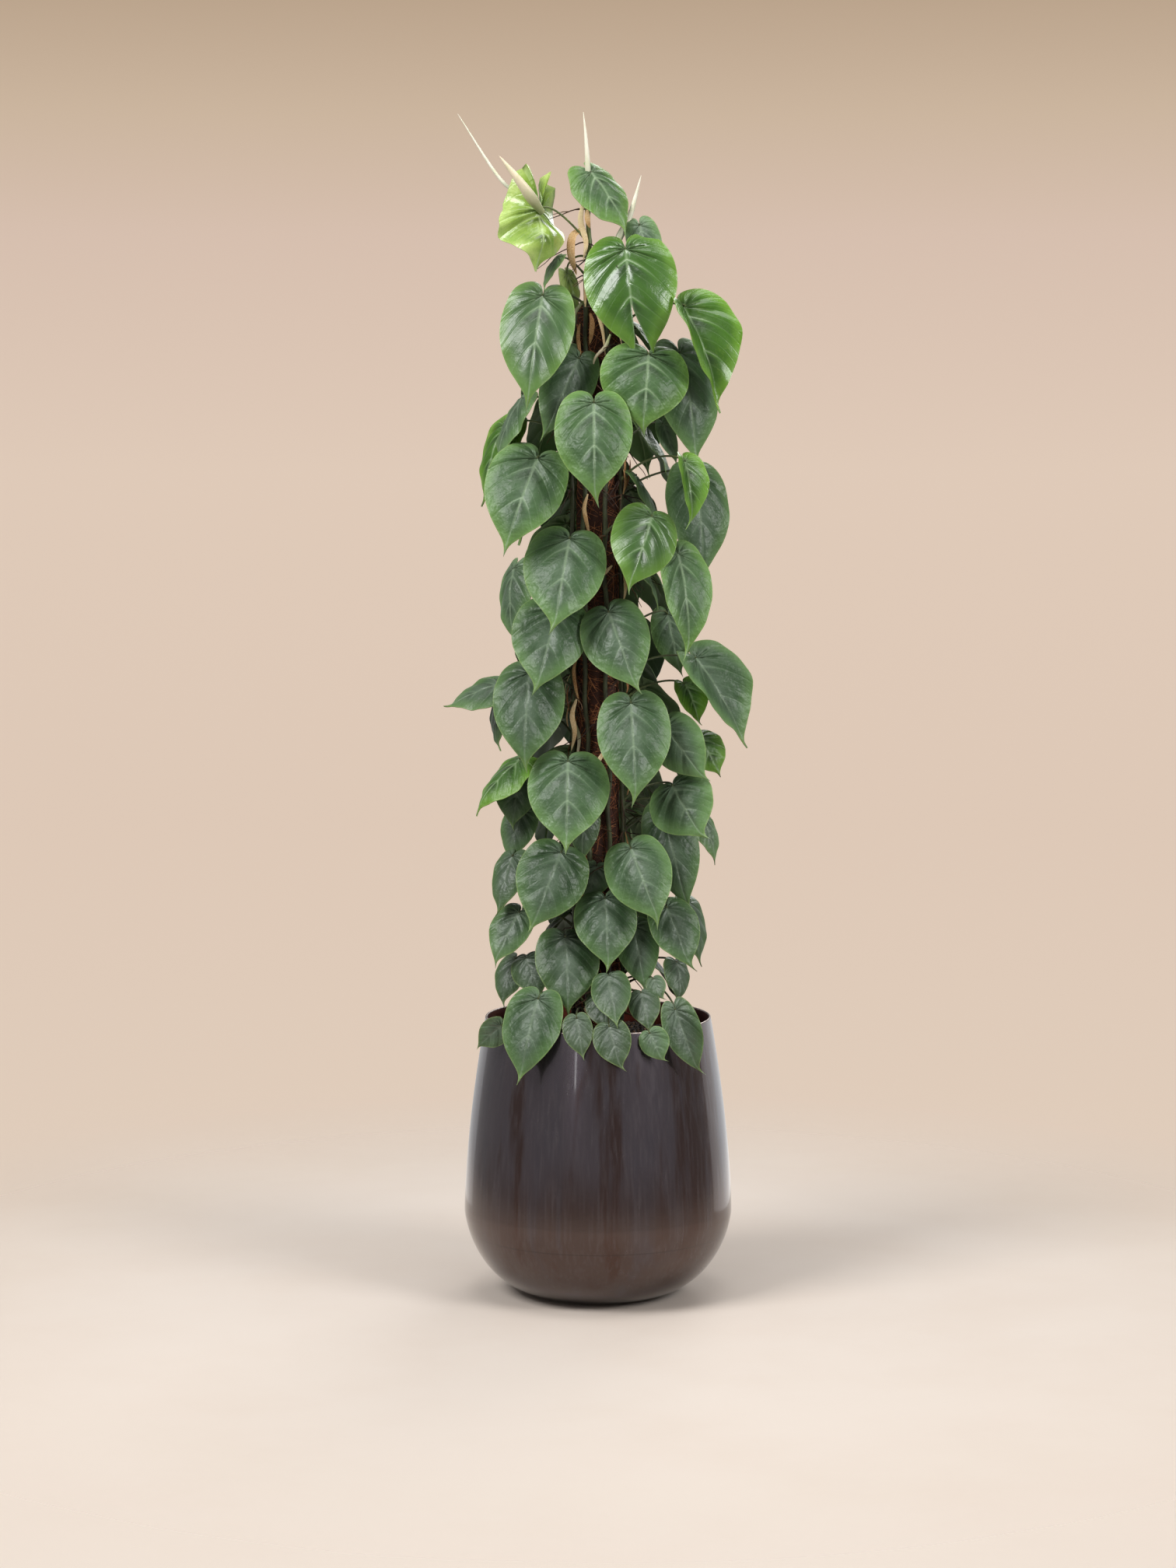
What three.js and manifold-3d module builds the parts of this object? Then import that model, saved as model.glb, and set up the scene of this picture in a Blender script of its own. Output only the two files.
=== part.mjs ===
// Potted heartleaf philodendron: eight leafy vines climb a coir pole that stands in a
// round-bellied metal planter full of potting soil.
// Millimetres, +Z up. The origin is the centre of the planter's foot and -Y is the front.
import * as THREE from "three";
import { mergeVertices } from "three/addons/utils/BufferGeometryUtils.js";
import Module from "manifold-3d";

const wasm = await Module();
wasm.setup();

// Planter, a spun shell with an open top.
const PLANTER_HEIGHT = 325;
const RIM_RADIUS = 131;
const BELLY_RADIUS = 156;
const BELLY_HEIGHT = 96;
const FOOT_RADIUS = 62;
const WALL = 2.5;
const PLANTER_SEGMENTS = 36;

// Soil and pole.
const SOIL_TOP = 296;
const SOIL_MOUND = 9;
const SOIL_SEGMENTS = PLANTER_SEGMENTS / 2;
const FIT_GAP = 0.4;
const POLE_RADIUS = 24;
const POLE_TOP = 1145;
const POLE_BURIED = 130;
const POLE_HOLE_RADIUS = 27.5;
const POLE_SEGMENTS = 16;
const STAKE_RADIUS = 11;
const STAKE_FOOT = 4.5;
const STAKE_PROUD = 8;

// Vines.
const STEM_RADIUS = 2.8;
const STEM_OFFSET = 30;
const STEM_BURIED = 40;
const STEM_HOLE_RADIUS = 3.8;
const STEM_STEPS = 14;
const STEM_SWAY = 6;
const STEM_WAVE = 130;
const PETIOLE_HALF = 1.3;
const PETIOLE_STOPS = [0, 0.5, 0.92];
const BLADE_THICKNESS = 0.9;

// The leaf places below were measured from this point in front of the plant, on the upright
// plane through the pole. seen() carries them along the line of sight to their own distance.
const EYE = { x: -11.7, y: -4000, z: 956 };

// Half a leaf's edge from beside the notch to near the tip: shares of the blade's width and length.
const LEAF_EDGE = [
  [0.07, -0.1],
  [0.25, -0.135],
  [0.47, 0.06],
  [0.46, 0.36],
  [0.27, 0.67],
  [0.08, 0.88],
];
const RIB = [0.2, 0.48, 0.74];
const LEAF_DEFAULTS = { turn: 0, fold: -12, arch: 0.08, lobe: 1, drop: 22, bow: [0.2, 0.34], swing: 0 };

const radians = THREE.MathUtils.degToRad;
const lerp = THREE.MathUtils.lerp;
const point = (x, y, z) => new THREE.Vector3(x, y, z);

// Solids.
function solidOf(geometry) {
  const bare = geometry.clone();
  bare.deleteAttribute("normal");
  bare.deleteAttribute("uv");
  const welded = mergeVertices(bare, 1e-3);
  return new wasm.Manifold(
    new wasm.Mesh({
      numProp: 3,
      vertProperties: welded.attributes.position.array,
      triVerts: new Uint32Array(welded.index.array),
    }),
  );
}

function geometryOf(solid) {
  const mesh = solid.getMesh();
  return new THREE.BufferGeometry()
    .setAttribute("position", new THREE.BufferAttribute(mesh.vertProperties, 3))
    .setIndex(new THREE.BufferAttribute(mesh.triVerts, 1));
}

function revolve(profile, segments) {
  return new THREE.LatheGeometry(profile, segments).rotateX(Math.PI / 2);
}

function post(radius, from, to, segments) {
  const geometry = new THREE.CylinderGeometry(radius, radius, to - from, segments);
  return geometry.rotateX(Math.PI / 2).translate(0, 0, (from + to) / 2);
}

// Planter and soil.
// The planter's half outline from foot to top, drawn in by an inset: a bowl, then the wall.
function planterSide(inset, top) {
  const bowl = new THREE.EllipseCurve(
    FOOT_RADIUS, BELLY_HEIGHT, BELLY_RADIUS - FOOT_RADIUS - inset, BELLY_HEIGHT - inset,
    -Math.PI / 2, 0,
  );
  const side = bowl.getPoints(6);
  const rows = 3;
  for (let i = 1; i <= rows; i++) {
    const z = lerp(BELLY_HEIGHT, top, i / rows);
    const share = (z - BELLY_HEIGHT) / (PLANTER_HEIGHT - BELLY_HEIGHT);
    side.push(new THREE.Vector2(lerp(BELLY_RADIUS, RIM_RADIUS, share ** 1.6) - inset, z));
  }
  return side;
}

function planterGeometry() {
  return revolve(
    [
      new THREE.Vector2(0, 0),
      ...planterSide(0, PLANTER_HEIGHT),
      ...planterSide(WALL, PLANTER_HEIGHT).reverse(),
      new THREE.Vector2(0, WALL),
    ],
    PLANTER_SEGMENTS,
  );
}

// The soil fills the planter to a low mound, with plain holes for the pole and for each stem.
function soilGeometry(stems) {
  const inset = WALL + FIT_GAP;
  const side = planterSide(inset, PLANTER_HEIGHT).filter((place) => place.y < SOIL_TOP);
  const last = side[side.length - 1];
  const rim = planterSide(inset, PLANTER_HEIGHT)[side.length];
  const share = (SOIL_TOP - last.y) / (rim.y - last.y);
  const edge = new THREE.Vector2(lerp(last.x, rim.x, share), SOIL_TOP);
  const shoulder = new THREE.Vector2(0.55 * edge.x, SOIL_TOP + 0.8 * SOIL_MOUND);
  const profile = [
    new THREE.Vector2(0, inset),
    ...side,
    edge,
    shoulder,
    new THREE.Vector2(0, SOIL_TOP + SOIL_MOUND),
  ];
  const above = SOIL_TOP + 3 * SOIL_MOUND;
  const poleHole = post(POLE_HOLE_RADIUS, SOIL_TOP - POLE_BURIED, above, POLE_SEGMENTS);
  let soil = solidOf(revolve(profile, SOIL_SEGMENTS)).subtract(solidOf(poleHole));
  soil = soil.subtract(solidOf(post(STAKE_RADIUS + FIT_GAP, 0, above, POLE_SEGMENTS)));
  for (const stem of stems) {
    const hole = post(STEM_HOLE_RADIUS, SOIL_TOP - STEM_BURIED - 1, above, 6);
    const { x, y } = stem(SOIL_TOP);
    soil = soil.subtract(solidOf(hole.translate(x, y, 0)));
  }
  return geometryOf(soil);
}

// A sleeve of coir round the stake, lumpy all over, open at both ends.
function coirGeometry() {
  const bottom = SOIL_TOP - POLE_BURIED + 1;
  const height = POLE_TOP - bottom;
  const geometry = new THREE.CylinderGeometry(POLE_RADIUS, POLE_RADIUS, height, POLE_SEGMENTS, 22);
  geometry.rotateX(Math.PI / 2).translate(0, 0, bottom + height / 2);
  const places = geometry.attributes.position;
  for (let i = 0; i < places.count; i++) {
    const [x, y, z] = [places.getX(i), places.getY(i), places.getZ(i)];
    const turn = Math.atan2(y, x);
    const lump = 0.9 * Math.sin(3 * turn + z / 19) + 0.7 * Math.sin(5 * turn - z / 31 + 1);
    const size = 1 + (lump - 0.6) / POLE_RADIUS;
    places.setXY(i, x * size, y * size);
  }
  const bore = post(STAKE_RADIUS + FIT_GAP, 0, 2 * POLE_TOP, POLE_SEGMENTS);
  return geometryOf(solidOf(geometry).subtract(solidOf(bore)));
}

// Leaf places.
// A measured place, brought forward along the line of sight to its distance ahead of the pole.
function seen([x, z], ahead) {
  const share = (-ahead - EYE.y) / -EYE.y;
  return point(lerp(EYE.x, x, share), -ahead, lerp(EYE.z, z, share));
}

// A place at an angle round the pole (0 is the front, positive to the right) and a distance out.
function about(angle, distance, z) {
  const a = radians(angle);
  return point(distance * Math.sin(a), -distance * Math.cos(a), z);
}

// A leaf measured from the front: notch and tip, then how far each stands ahead of the pole.
function measured(notch, tip, ahead, width, more = {}) {
  return {
    ...LEAF_DEFAULTS, ...more, width,
    notch: seen(notch, ahead[0]), tip: seen(tip, ahead[1]), facing: point(0, -1, 0),
  };
}

// A leaf of the far side: an angle round the pole, then distances out and heights of notch and tip.
function hanging(angle, out, heights, width, more = {}) {
  const leaf = { ...LEAF_DEFAULTS, ...more, width, facing: about(angle, 1, 0) };
  leaf.notch = about(angle, out[0], heights[0]);
  leaf.tip = about(angle + leaf.swing, out[1], heights[1]);
  return leaf;
}

// Leaf shape.
// The blade's own directions: along it, across it, and out of its upper face.
function bladeFrame(leaf) {
  const along = leaf.tip.clone().sub(leaf.notch);
  const length = along.length();
  along.normalize();
  const level = leaf.facing.clone().cross(along).normalize();
  const turn = radians(leaf.turn);
  const across = level.clone().multiplyScalar(Math.cos(turn))
    .addScaledVector(along.clone().cross(level), Math.sin(turn));
  return { along, across, out: along.clone().cross(across), length };
}

// A place on the blade: u across it in widths, v along it in lengths, both 0 at the notch.
function onBlade(leaf, frame, u, v) {
  const fold = radians(leaf.fold);
  const wide = u * leaf.width;
  const lift = Math.abs(wide) * Math.sin(fold) + leaf.arch * frame.length * 4 * v * (1 - v);
  return leaf.notch.clone()
    .addScaledVector(frame.along, (v < 0 ? leaf.lobe * v : v) * frame.length)
    .addScaledVector(frame.across, wide * Math.cos(fold))
    .addScaledVector(frame.out, lift);
}

// The stalk leaves the stem upwards, arches over and comes down into the blade's notch.
function petiolePath(leaf, frame, stem) {
  const root = stem(leaf.notch.z - leaf.drop);
  const reach = root.distanceTo(leaf.notch);
  const away = leaf.notch.clone().sub(root).setZ(0).normalize();
  const rise = root.clone().addScaledVector(away, 0.3 * reach).add(point(0, 0, 0.3 * reach));
  const over = leaf.notch.clone()
    .addScaledVector(frame.along, -leaf.bow[0] * reach)
    .addScaledVector(frame.out, -leaf.bow[1] * reach);
  return new THREE.CubicBezierCurve3(root, rise, over, leaf.notch);
}

// Four-cornered rings square to a path, from its end back to its start with the least twist.
function ringsAlong(path, stops, across, half) {
  const side = across.clone();
  const rings = stops.toReversed().map((t) => {
    const ahead = path.getTangent(t);
    side.addScaledVector(ahead, -side.dot(ahead)).setLength(half(t));
    const up = ahead.clone().cross(side);
    const middle = path.getPoint(t);
    return [[1, 1], [-1, 1], [-1, -1], [1, -1]].map(([s, u]) =>
      middle.clone().addScaledVector(side, s).addScaledVector(up, u));
  });
  return rings.reverse();
}

// Corner numbers of the skin over rings laid one after another, its first ring closed.
function skinOf(rings) {
  const index = [0, 3, 2, 0, 2, 1];
  for (let start = 0; start < 4 * (rings - 1); start += 4) {
    for (let k = 0; k < 4; k++) {
      const [a, b] = [start + k, start + ((k + 1) % 4)];
      index.push(a, b, b + 4, a, b + 4, a + 4);
    }
  }
  return index;
}

// A leaf in one skin: the stalk's rings, whose last is the notch, then a thin blade. The blade has
// edge points all round and three down the rib, and both its faces are split alike.
function leafGeometry(leaf, stem) {
  const frame = bladeFrame(leaf);
  const notch = [PETIOLE_HALF / leaf.width, 0];
  const right = [notch, ...LEAF_EDGE];
  const places = [...right, [0, 1], ...right.map(([u, v]) => [-u, v]).reverse()];
  const edge = places.length;
  for (const v of RIB) places.push([0, v]);
  const [r1, r2, r3] = [edge, edge + 1, edge + 2];
  const half = [
    [0, 1, 2], [0, 2, 3], [0, 3, r1], [r1, 3, 4], [r1, 4, r2],
    [r2, 4, 5], [r2, 5, r3], [r3, 5, 6], [r3, 6, 7],
  ];
  const mirror = (i) => (i < edge ? edge - 1 - i : i);
  const faces = [...half, ...half.map(([a, b, c]) => [mirror(a), mirror(c), mirror(b)]), [0, r1, edge - 1]];
  const shift = frame.out.clone().multiplyScalar(BLADE_THICKNESS / 2);
  const middle = places.map(([u, v]) => onBlade(leaf, frame, u, v));
  const upper = middle.map((place) => place.clone().add(shift));
  const lower = middle.map((place) => place.clone().sub(shift));

  const rings = ringsAlong(petiolePath(leaf, frame, stem), PETIOLE_STOPS, frame.across, () => PETIOLE_HALF);
  rings.push([upper[0], upper[edge - 1], lower[edge - 1], lower[0]]);
  const index = skinOf(rings.length);
  const first = 4 * rings.length;
  const under = first + upper.length;
  for (const [a, b, c] of faces) {
    index.push(first + a, first + c, first + b, under + a, under + b, under + c);
  }
  for (let i = 0; i < edge - 1; i++) {
    index.push(first + i, first + i + 1, under + i + 1, first + i, under + i + 1, under + i);
  }
  return new THREE.BufferGeometry().setFromPoints([...rings.flat(), ...upper, ...lower]).setIndex(index);
}

// A shoot: a slim spear through measured places, thick at its root and drawn out to a point.
function shootGeometry(shoot) {
  const path = new THREE.CatmullRomCurve3(shoot.through.map(([x, z, ahead]) => seen([x, z], ahead)));
  const half = (t) => lerp(shoot.half, 0.6, t);
  const rings = ringsAlong(path, [0, 0.35, 0.7, 1], point(1, 0, 0), half);
  const index = skinOf(rings.length);
  const end = 4 * (rings.length - 1);
  index.push(end, end + 1, end + 2, end, end + 2, end + 3);
  return new THREE.BufferGeometry().setFromPoints(rings.flat()).setIndex(index);
}

// Vines, named by where they stand round the pole.
const VINES = [
  {
    name: "vine_front_left", angle: -28, top: 1296,
    leaves: [
      measured([-66, 1253], [-68, 1187], [60, 84], 96,
        { lobe: 5.5, arch: 0.12, turn: -30, fold: -22, drop: 34, bow: [0.1, -0.25] }),
      measured([-8, 1296], [36, 1226], [34, 52], 68, { lobe: 1.5, turn: -32, fold: -25, drop: 42 }),
      measured([-64, 1157], [-82, 1024], [62, 92], 88, { turn: 5, drop: 12 }),
      measured([-35, 1182], [-25, 1132], [25, 28], 26, { turn: -35, drop: -16, bow: [0.5, 0.05] }),
      measured([-22, 1085], [-66, 988], [42, 56], 64),
      measured([-70, 972], [-110, 858], [66, 98], 94, { turn: 8, fold: -8 }),
      measured([-33, 880], [-52, 766], [70, 108], 98, { turn: -5 }),
      measured([-46, 800], [-73, 697], [46, 84], 92, { turn: 5 }),
      measured([-35, 622], [-37, 512], [72, 108], 98),
      measured([-17, 572], [-18, 500], [38, 45], 40),
      measured([-43, 516], [-80, 420], [62, 96], 86, { turn: 3, drop: 5 }),
      measured([-38, 418], [-35, 322], [60, 100], 78),
      measured([-70, 345], [-92, 242], [112, 142], 72, { turn: 12 }),
      measured([-25, 322], [-17, 271], [126, 143], 36),
    ],
    shoots: [
      { through: [[-64, 1250, 58], [-78, 1268, 74], [-92, 1286, 82], [-113, 1313, 84]], half: 4.5 },
      { through: [[-64, 1248, 56], [-80, 1266, 44], [-108, 1290, 42], [-160, 1361, 46]], half: 1.8 },
      { through: [[-13, 1274, 27], [-12, 1308, 32], [-14, 1335, 34], [-17, 1363, 34]], half: 2.4 },
    ],
  },
  {
    name: "vine_left", angle: -75, top: 1060,
    leaves: [
      measured([-88, 1040], [-118, 962], [30, 36], 60, { turn: 66 }),
      measured([-108, 1010], [-132, 915], [8, 10], 70, { turn: 52 }),
      measured([-97, 845], [-97, 752], [4, 16], 60, { turn: 50 }),
      measured([-112, 712], [-178, 683], [16, 6], 60, { turn: 56 }),
      measured([-80, 725], [-86, 608], [52, 86], 86, { turn: 5 }),
      measured([-118, 700], [-115, 633], [-8, 4], 50, { turn: 66 }),
      measured([-92, 626], [-143, 560], [44, 58], 66, { turn: 48 }),
      measured([-90, 612], [-101, 540], [28, 38], 54),
      measured([-88, 565], [-105, 502], [14, 24], 45, { turn: 20 }),
      measured([-100, 512], [-116, 440], [40, 58], 44, { turn: 30 }),
      measured([-92, 446], [-123, 382], [48, 66], 50, { turn: 20 }),
      measured([-84, 392], [-66, 345], [56, 80], 50),
      measured([-97, 392], [-113, 334], [34, 52], 40, { turn: 30 }),
      measured([-113, 313], [-143, 286], [92, 82], 34, { drop: -14, arch: 0, fold: 0 }),
      hanging(-90, [46, 74], [1112, 1048], 52),
      hanging(-94, [48, 76], [958, 888], 56),
      hanging(-100, [50, 80], [862, 790], 60),
      hanging(-96, [50, 80], [745, 675], 58),
      hanging(-98, [48, 76], [500, 436], 52),
    ],
  },
  {
    name: "vine_front_right", angle: 20, top: 1215,
    leaves: [
      measured([31, 1209], [46, 1094], [57, 70], 110, { arch: 0.12 }),
      measured([47, 1236], [64, 1166], [35, 39], 42),
      measured([58, 1090], [50, 996], [72, 87], 106, { turn: -4 }),
      measured([-5, 1035], [-4, 915], [99, 124], 92),
      measured([62, 905], [32, 816], [80, 110], 80),
      measured([12, 795], [47, 698], [66, 98], 82),
      measured([38, 690], [45, 568], [76, 112], 88),
      measured([38, 521], [74, 428], [76, 110], 80),
      measured([-2, 500], [-14, 456], [36, 43], 42),
      measured([8, 463], [13, 374], [60, 98], 76),
      measured([42, 430], [56, 350], [48, 74], 52),
      measured([12, 372], [22, 309], [96, 140], 48),
      measured([6, 350], [10, 303], [82, 106], 44),
      measured([13, 312], [28, 257], [134, 154], 44, { fold: -4, drop: -4 }),
      measured([50, 352], [61, 303], [92, 122], 38),
      measured([60, 304], [77, 268], [128, 136], 36, { drop: -12 }),
    ],
    shoots: [
      { through: [[12, 1190, 27], [24, 1216, 27], [37, 1246, 25], [48, 1292, 26]], half: 3 },
    ],
  },
  {
    name: "vine_right", angle: 66, top: 1150,
    leaves: [
      measured([100, 1145], [138, 1021], [40, 60], 100, { turn: -40, fold: 35 }),
      measured([94, 1092], [113, 957], [36, 56], 80, { turn: -20 }),
      measured([74, 1010], [92, 962], [34, 39], 26, { fold: 35 }),
      measured([100, 968], [108, 890], [66, 80], 46, { fold: 40, turn: -20 }),
      measured([112, 952], [122, 825], [16, 36], 78, { turn: -15 }),
      measured([92, 862], [106, 738], [66, 92], 64, { turn: -25, fold: 10 }),
      measured([80, 792], [96, 718], [-3, 1], 48, { bow: [0.2, -0.2] }),
      measured([113, 742], [172, 637], [26, 36], 84, { turn: -20, fold: 28 }),
      measured([100, 712], [118, 663], [26, 34], 42, { fold: 20 }),
      measured([78, 662], [127, 596], [48, 70], 64),
      measured([116, 650], [143, 604], [26, 34], 46, { turn: -30 }),
      measured([86, 594], [124, 528], [52, 82], 84),
      measured([118, 560], [138, 502], [16, 26], 34, { turn: -40, drop: -6 }),
      measured([76, 560], [106, 442], [28, 42], 66),
      measured([80, 452], [109, 375], [60, 84], 60, { turn: -15 }),
      measured([106, 458], [118, 382], [14, 30], 42, { turn: -40 }),
      measured([92, 388], [94, 338], [56, 76], 36, { turn: -30 }),
      measured([90, 332], [119, 252], [108, 114], 46, { fold: 20, drop: -8 }),
      hanging(92, [50, 80], [1120, 1048], 58),
      hanging(77, [46, 72], [952, 886], 50),
      hanging(83, [46, 72], [858, 796], 50),
      hanging(90, [48, 78], [692, 622], 58),
      hanging(90, [48, 76], [500, 436], 52),
    ],
  },
];

// The far side's vines: leaves hang like shingles, in turn to the left and right of their own stem.
const BACK_VINES = [
  { name: "vine_right_back", angle: 126, top: 1160, lowest: 404 },
  { name: "vine_back_right", angle: 163, top: 1165, lowest: 441 },
  { name: "vine_back_left", angle: 198, top: 1160, lowest: 404 },
  { name: "vine_left_back", angle: 235, top: 1150, lowest: 441 },
];
const BACK_SPACING = 76;
const BACK_HIGHEST = 1135;
const BACK_REACH = [58, 104];

// A seeded draw from -1 to 1.
function drawsFrom(seed) {
  let state = seed;
  return () => {
    state = (state * 1664525 + 1013904223) % 4294967296;
    return state / 2147483648 - 1;
  };
}

function backLeaves(vine, seed) {
  const draw = drawsFrom(seed);
  const leaves = [];
  for (let z = vine.lowest; z < BACK_HIGHEST; z += BACK_SPACING) {
    const angle = vine.angle + (leaves.length % 2 ? 11 : -11) + 4 * draw();
    const grown = THREE.MathUtils.clamp((z - 330) / 300, 0, 1);
    const width = 60 + 24 * grown + 6 * draw();
    const fall = 1.2 * width + 5 * draw();
    const out = BACK_REACH.map((reach) => reach + 3 * draw());
    const more = { turn: 8 * draw(), swing: 3 * draw(), fold: -16 };
    leaves.push(hanging(angle, out, [z, z - fall], width, more));
  }
  return leaves;
}

BACK_VINES.forEach((vine, i) => VINES.push({ ...vine, leaves: backLeaves(vine, 11 + i) }));

// A stem's centre at a height: it sways a little as it climbs the pole.
function stemOf(vine) {
  return (z) => {
    const height = THREE.MathUtils.clamp(z, SOIL_TOP - STEM_BURIED, vine.top);
    const climbed = Math.max(height - SOIL_TOP, 0);
    return about(vine.angle + STEM_SWAY * Math.sin(climbed / STEM_WAVE), STEM_OFFSET, height);
  };
}

function stemGeometry(vine, stem) {
  const stops = 10;
  const heights = [SOIL_TOP - STEM_BURIED];
  for (let i = 0; i <= stops; i++) heights.push(lerp(SOIL_TOP, vine.top, i / stops));
  const section = new THREE.Shape(
    Array.from({ length: 5 }, (_, i) => {
      const angle = (2 * Math.PI * i) / 5;
      return new THREE.Vector2(STEM_RADIUS * Math.cos(angle), STEM_RADIUS * Math.sin(angle));
    }),
  );
  return new THREE.ExtrudeGeometry(section, {
    steps: STEM_STEPS,
    extrudePath: new THREE.CatmullRomCurve3(heights.map(stem)),
    bevelEnabled: false,
  });
}

function vineGeometry(vine, stem) {
  let solid = solidOf(stemGeometry(vine, stem));
  for (const leaf of vine.leaves) solid = solid.add(solidOf(leafGeometry(leaf, stem)));
  for (const shoot of vine.shoots ?? []) solid = solid.add(solidOf(shootGeometry(shoot)));
  return geometryOf(solid);
}

// Assembly.
const MATERIALS = {
  metal: new THREE.MeshStandardMaterial({ color: 0x3b302d, roughness: 0.32, metalness: 0.75 }),
  soil: new THREE.MeshStandardMaterial({ color: 0x2a1d15, roughness: 0.95, metalness: 0 }),
  coir: new THREE.MeshStandardMaterial({ color: 0x5f3320, roughness: 0.95, metalness: 0 }),
  stake: new THREE.MeshStandardMaterial({ color: 0x8a6a45, roughness: 0.7, metalness: 0 }),
  leaf: new THREE.MeshStandardMaterial({ color: 0x4a6f45, roughness: 0.5, metalness: 0 }),
};

const plant = new THREE.Group();

function addPiece(name, geometry, material) {
  const mesh = new THREE.Mesh(geometry, material);
  mesh.name = name;
  plant.add(mesh);
}

const stems = VINES.map(stemOf);
const stake = post(STAKE_RADIUS, STAKE_FOOT, POLE_TOP + STAKE_PROUD, POLE_SEGMENTS);
addPiece("planter", planterGeometry(), MATERIALS.metal);
addPiece("potting_soil", soilGeometry(stems), MATERIALS.soil);
addPiece("pole_stake", stake, MATERIALS.stake);
addPiece("coir_sleeve", coirGeometry(), MATERIALS.coir);
VINES.forEach((vine, i) => addPiece(vine.name, vineGeometry(vine, stems[i]), MATERIALS.leaf));

export default plant;
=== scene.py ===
import math
from dataclasses import dataclass

import bmesh
import bpy
import numpy as np
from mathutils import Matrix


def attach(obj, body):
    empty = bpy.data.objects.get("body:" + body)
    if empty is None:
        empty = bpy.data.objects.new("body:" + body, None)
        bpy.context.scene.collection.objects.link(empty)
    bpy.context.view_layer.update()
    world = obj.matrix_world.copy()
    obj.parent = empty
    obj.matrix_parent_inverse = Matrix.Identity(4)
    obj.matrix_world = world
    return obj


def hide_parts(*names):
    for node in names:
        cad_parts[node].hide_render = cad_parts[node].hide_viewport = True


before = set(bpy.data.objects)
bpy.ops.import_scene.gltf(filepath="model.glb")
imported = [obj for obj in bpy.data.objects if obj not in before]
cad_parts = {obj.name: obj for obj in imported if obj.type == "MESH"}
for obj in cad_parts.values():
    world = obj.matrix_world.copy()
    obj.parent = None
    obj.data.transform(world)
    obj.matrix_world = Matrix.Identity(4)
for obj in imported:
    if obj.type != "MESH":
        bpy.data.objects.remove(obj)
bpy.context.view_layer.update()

MM = 0.001

# Planter.
PLANTER_HEIGHT = 325
RIM_RADIUS = 131
BELLY_RADIUS = 156
BELLY_HEIGHT = 96
FOOT_RADIUS = 62
BELLY_KNEE = 0.16
WALL = 2.5
WALL_CURVE = 1.6
SEAM_HEIGHT = 75
PLANTER_SIDES = 144
BOWL_ROWS = 36
WALL_ROWS = 30

# Soil and pole.
SOIL_TOP = 296
SOIL_MOUND = 9
POLE_RADIUS = 24
POLE_TOP = 1145
POLE_BURIED = 130
STAKE_RADIUS = 11
STAKE_PROUD = 8
STAKE_FOOT = 4.5
STAKE_CHAMFER = 1.5
FIT_GAP = 0.4
COIR_ROWS = 260
COIR_SIDES = 72
COIR_FIBRES = 2600
FIBRE_LENGTHS = (14, 46)
SOIL_SIDES = 96
SOIL_ROWS = 46
SOIL_CRUMBS = 2200

# Vines.
STEM_RADIUS = 2.8
STEM_OFFSET = 30
STEM_BURIED = 40
STEM_SWAY = 6
STEM_WAVE = 130
YOUNG_STEM_BOTTOM = 1130
YOUNG_STEM_LENGTH = 110
PETIOLE_RADIUS = 1.35
PETIOLE_STEPS = 18
SPRIG_STEPS = 28
SPRIG_SIDES = 12
ROOT_STEPS = 7
ROOT_LENGTHS = (18, 56)
ROOT_RADII = (0.9, 0.35)
SHEATH_SHARE = 0.55
SHEATH_LENGTHS = (24, 46)
SHEATH_HALF_WIDTHS = (2, 3.4)

# Leaf blades.
BLADE_THICKNESS = 0.7
BLADE_ROWS = 44
BLADE_COLUMNS = 12
VEIN_SLANT = 0.7
VEIN_COUNT = 7
VEIN_CROWDING = 1.35
VEIN_CURVE = 0.06
LOBE_DEPTH = 0.146
LOBE_ROLL = 0.05
CREASE_RADIUS = 3
RIB_RIDGE = 1.5
RIB_GROOVE = 0.5
TIP_BEND = 15
UNEVEN_HALVES = 0.13
# Below this height a blade's tone is darkened: painted shade.
SHADED_BELOW = 470

# How far a blade 100 mm wide stands out of its own plane.
RIB_HOLLOW = 2.6
MARGIN_ROLL = 2.2
CUSHION_HEIGHT = 12
BUCKLE = 2.4
TWIST = 16
TIP_LIFT = 14

# The leaf places below were measured from this point in front of the plant, on the upright
# plane through the pole. The camera stands there too.
EYE = np.array((-11.7, -4000.0, 956.0))
EYE_TILT = 5.15
LENS = 79.66

# Studio.
FLOOR_RADII = (0.0, 500, 1000, 1500, 2400)
DOME_RADIUS = 8000
DOME_GLOW = 0.59
AIR_LIGHT = 0.31
CARD_HEIGHT = 0.46
CARD_TINT = (0.94, 0.97, 1.0)

# Half a leaf's outline from its notch round a lobe to the tip: shares of its width and length.
LEAF_OUTLINE = (
    (0.0, 0.0), (0.01, -0.05), (0.035, -0.098), (0.095, -0.134), (0.185, -0.146), (0.29, -0.115),
    (0.385, -0.04), (0.45, 0.06), (0.487, 0.18), (0.493, 0.3), (0.468, 0.42), (0.405, 0.54), (0.295, 0.665),
    (0.175, 0.765), (0.082, 0.84), (0.034, 0.895), (0.014, 0.945), (0.0, 1.0),
)


# Small sums.
def vector(x, y, z):
    return np.array((x, y, z), dtype=float)


def unit(direction):
    return direction / np.linalg.norm(direction)


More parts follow.
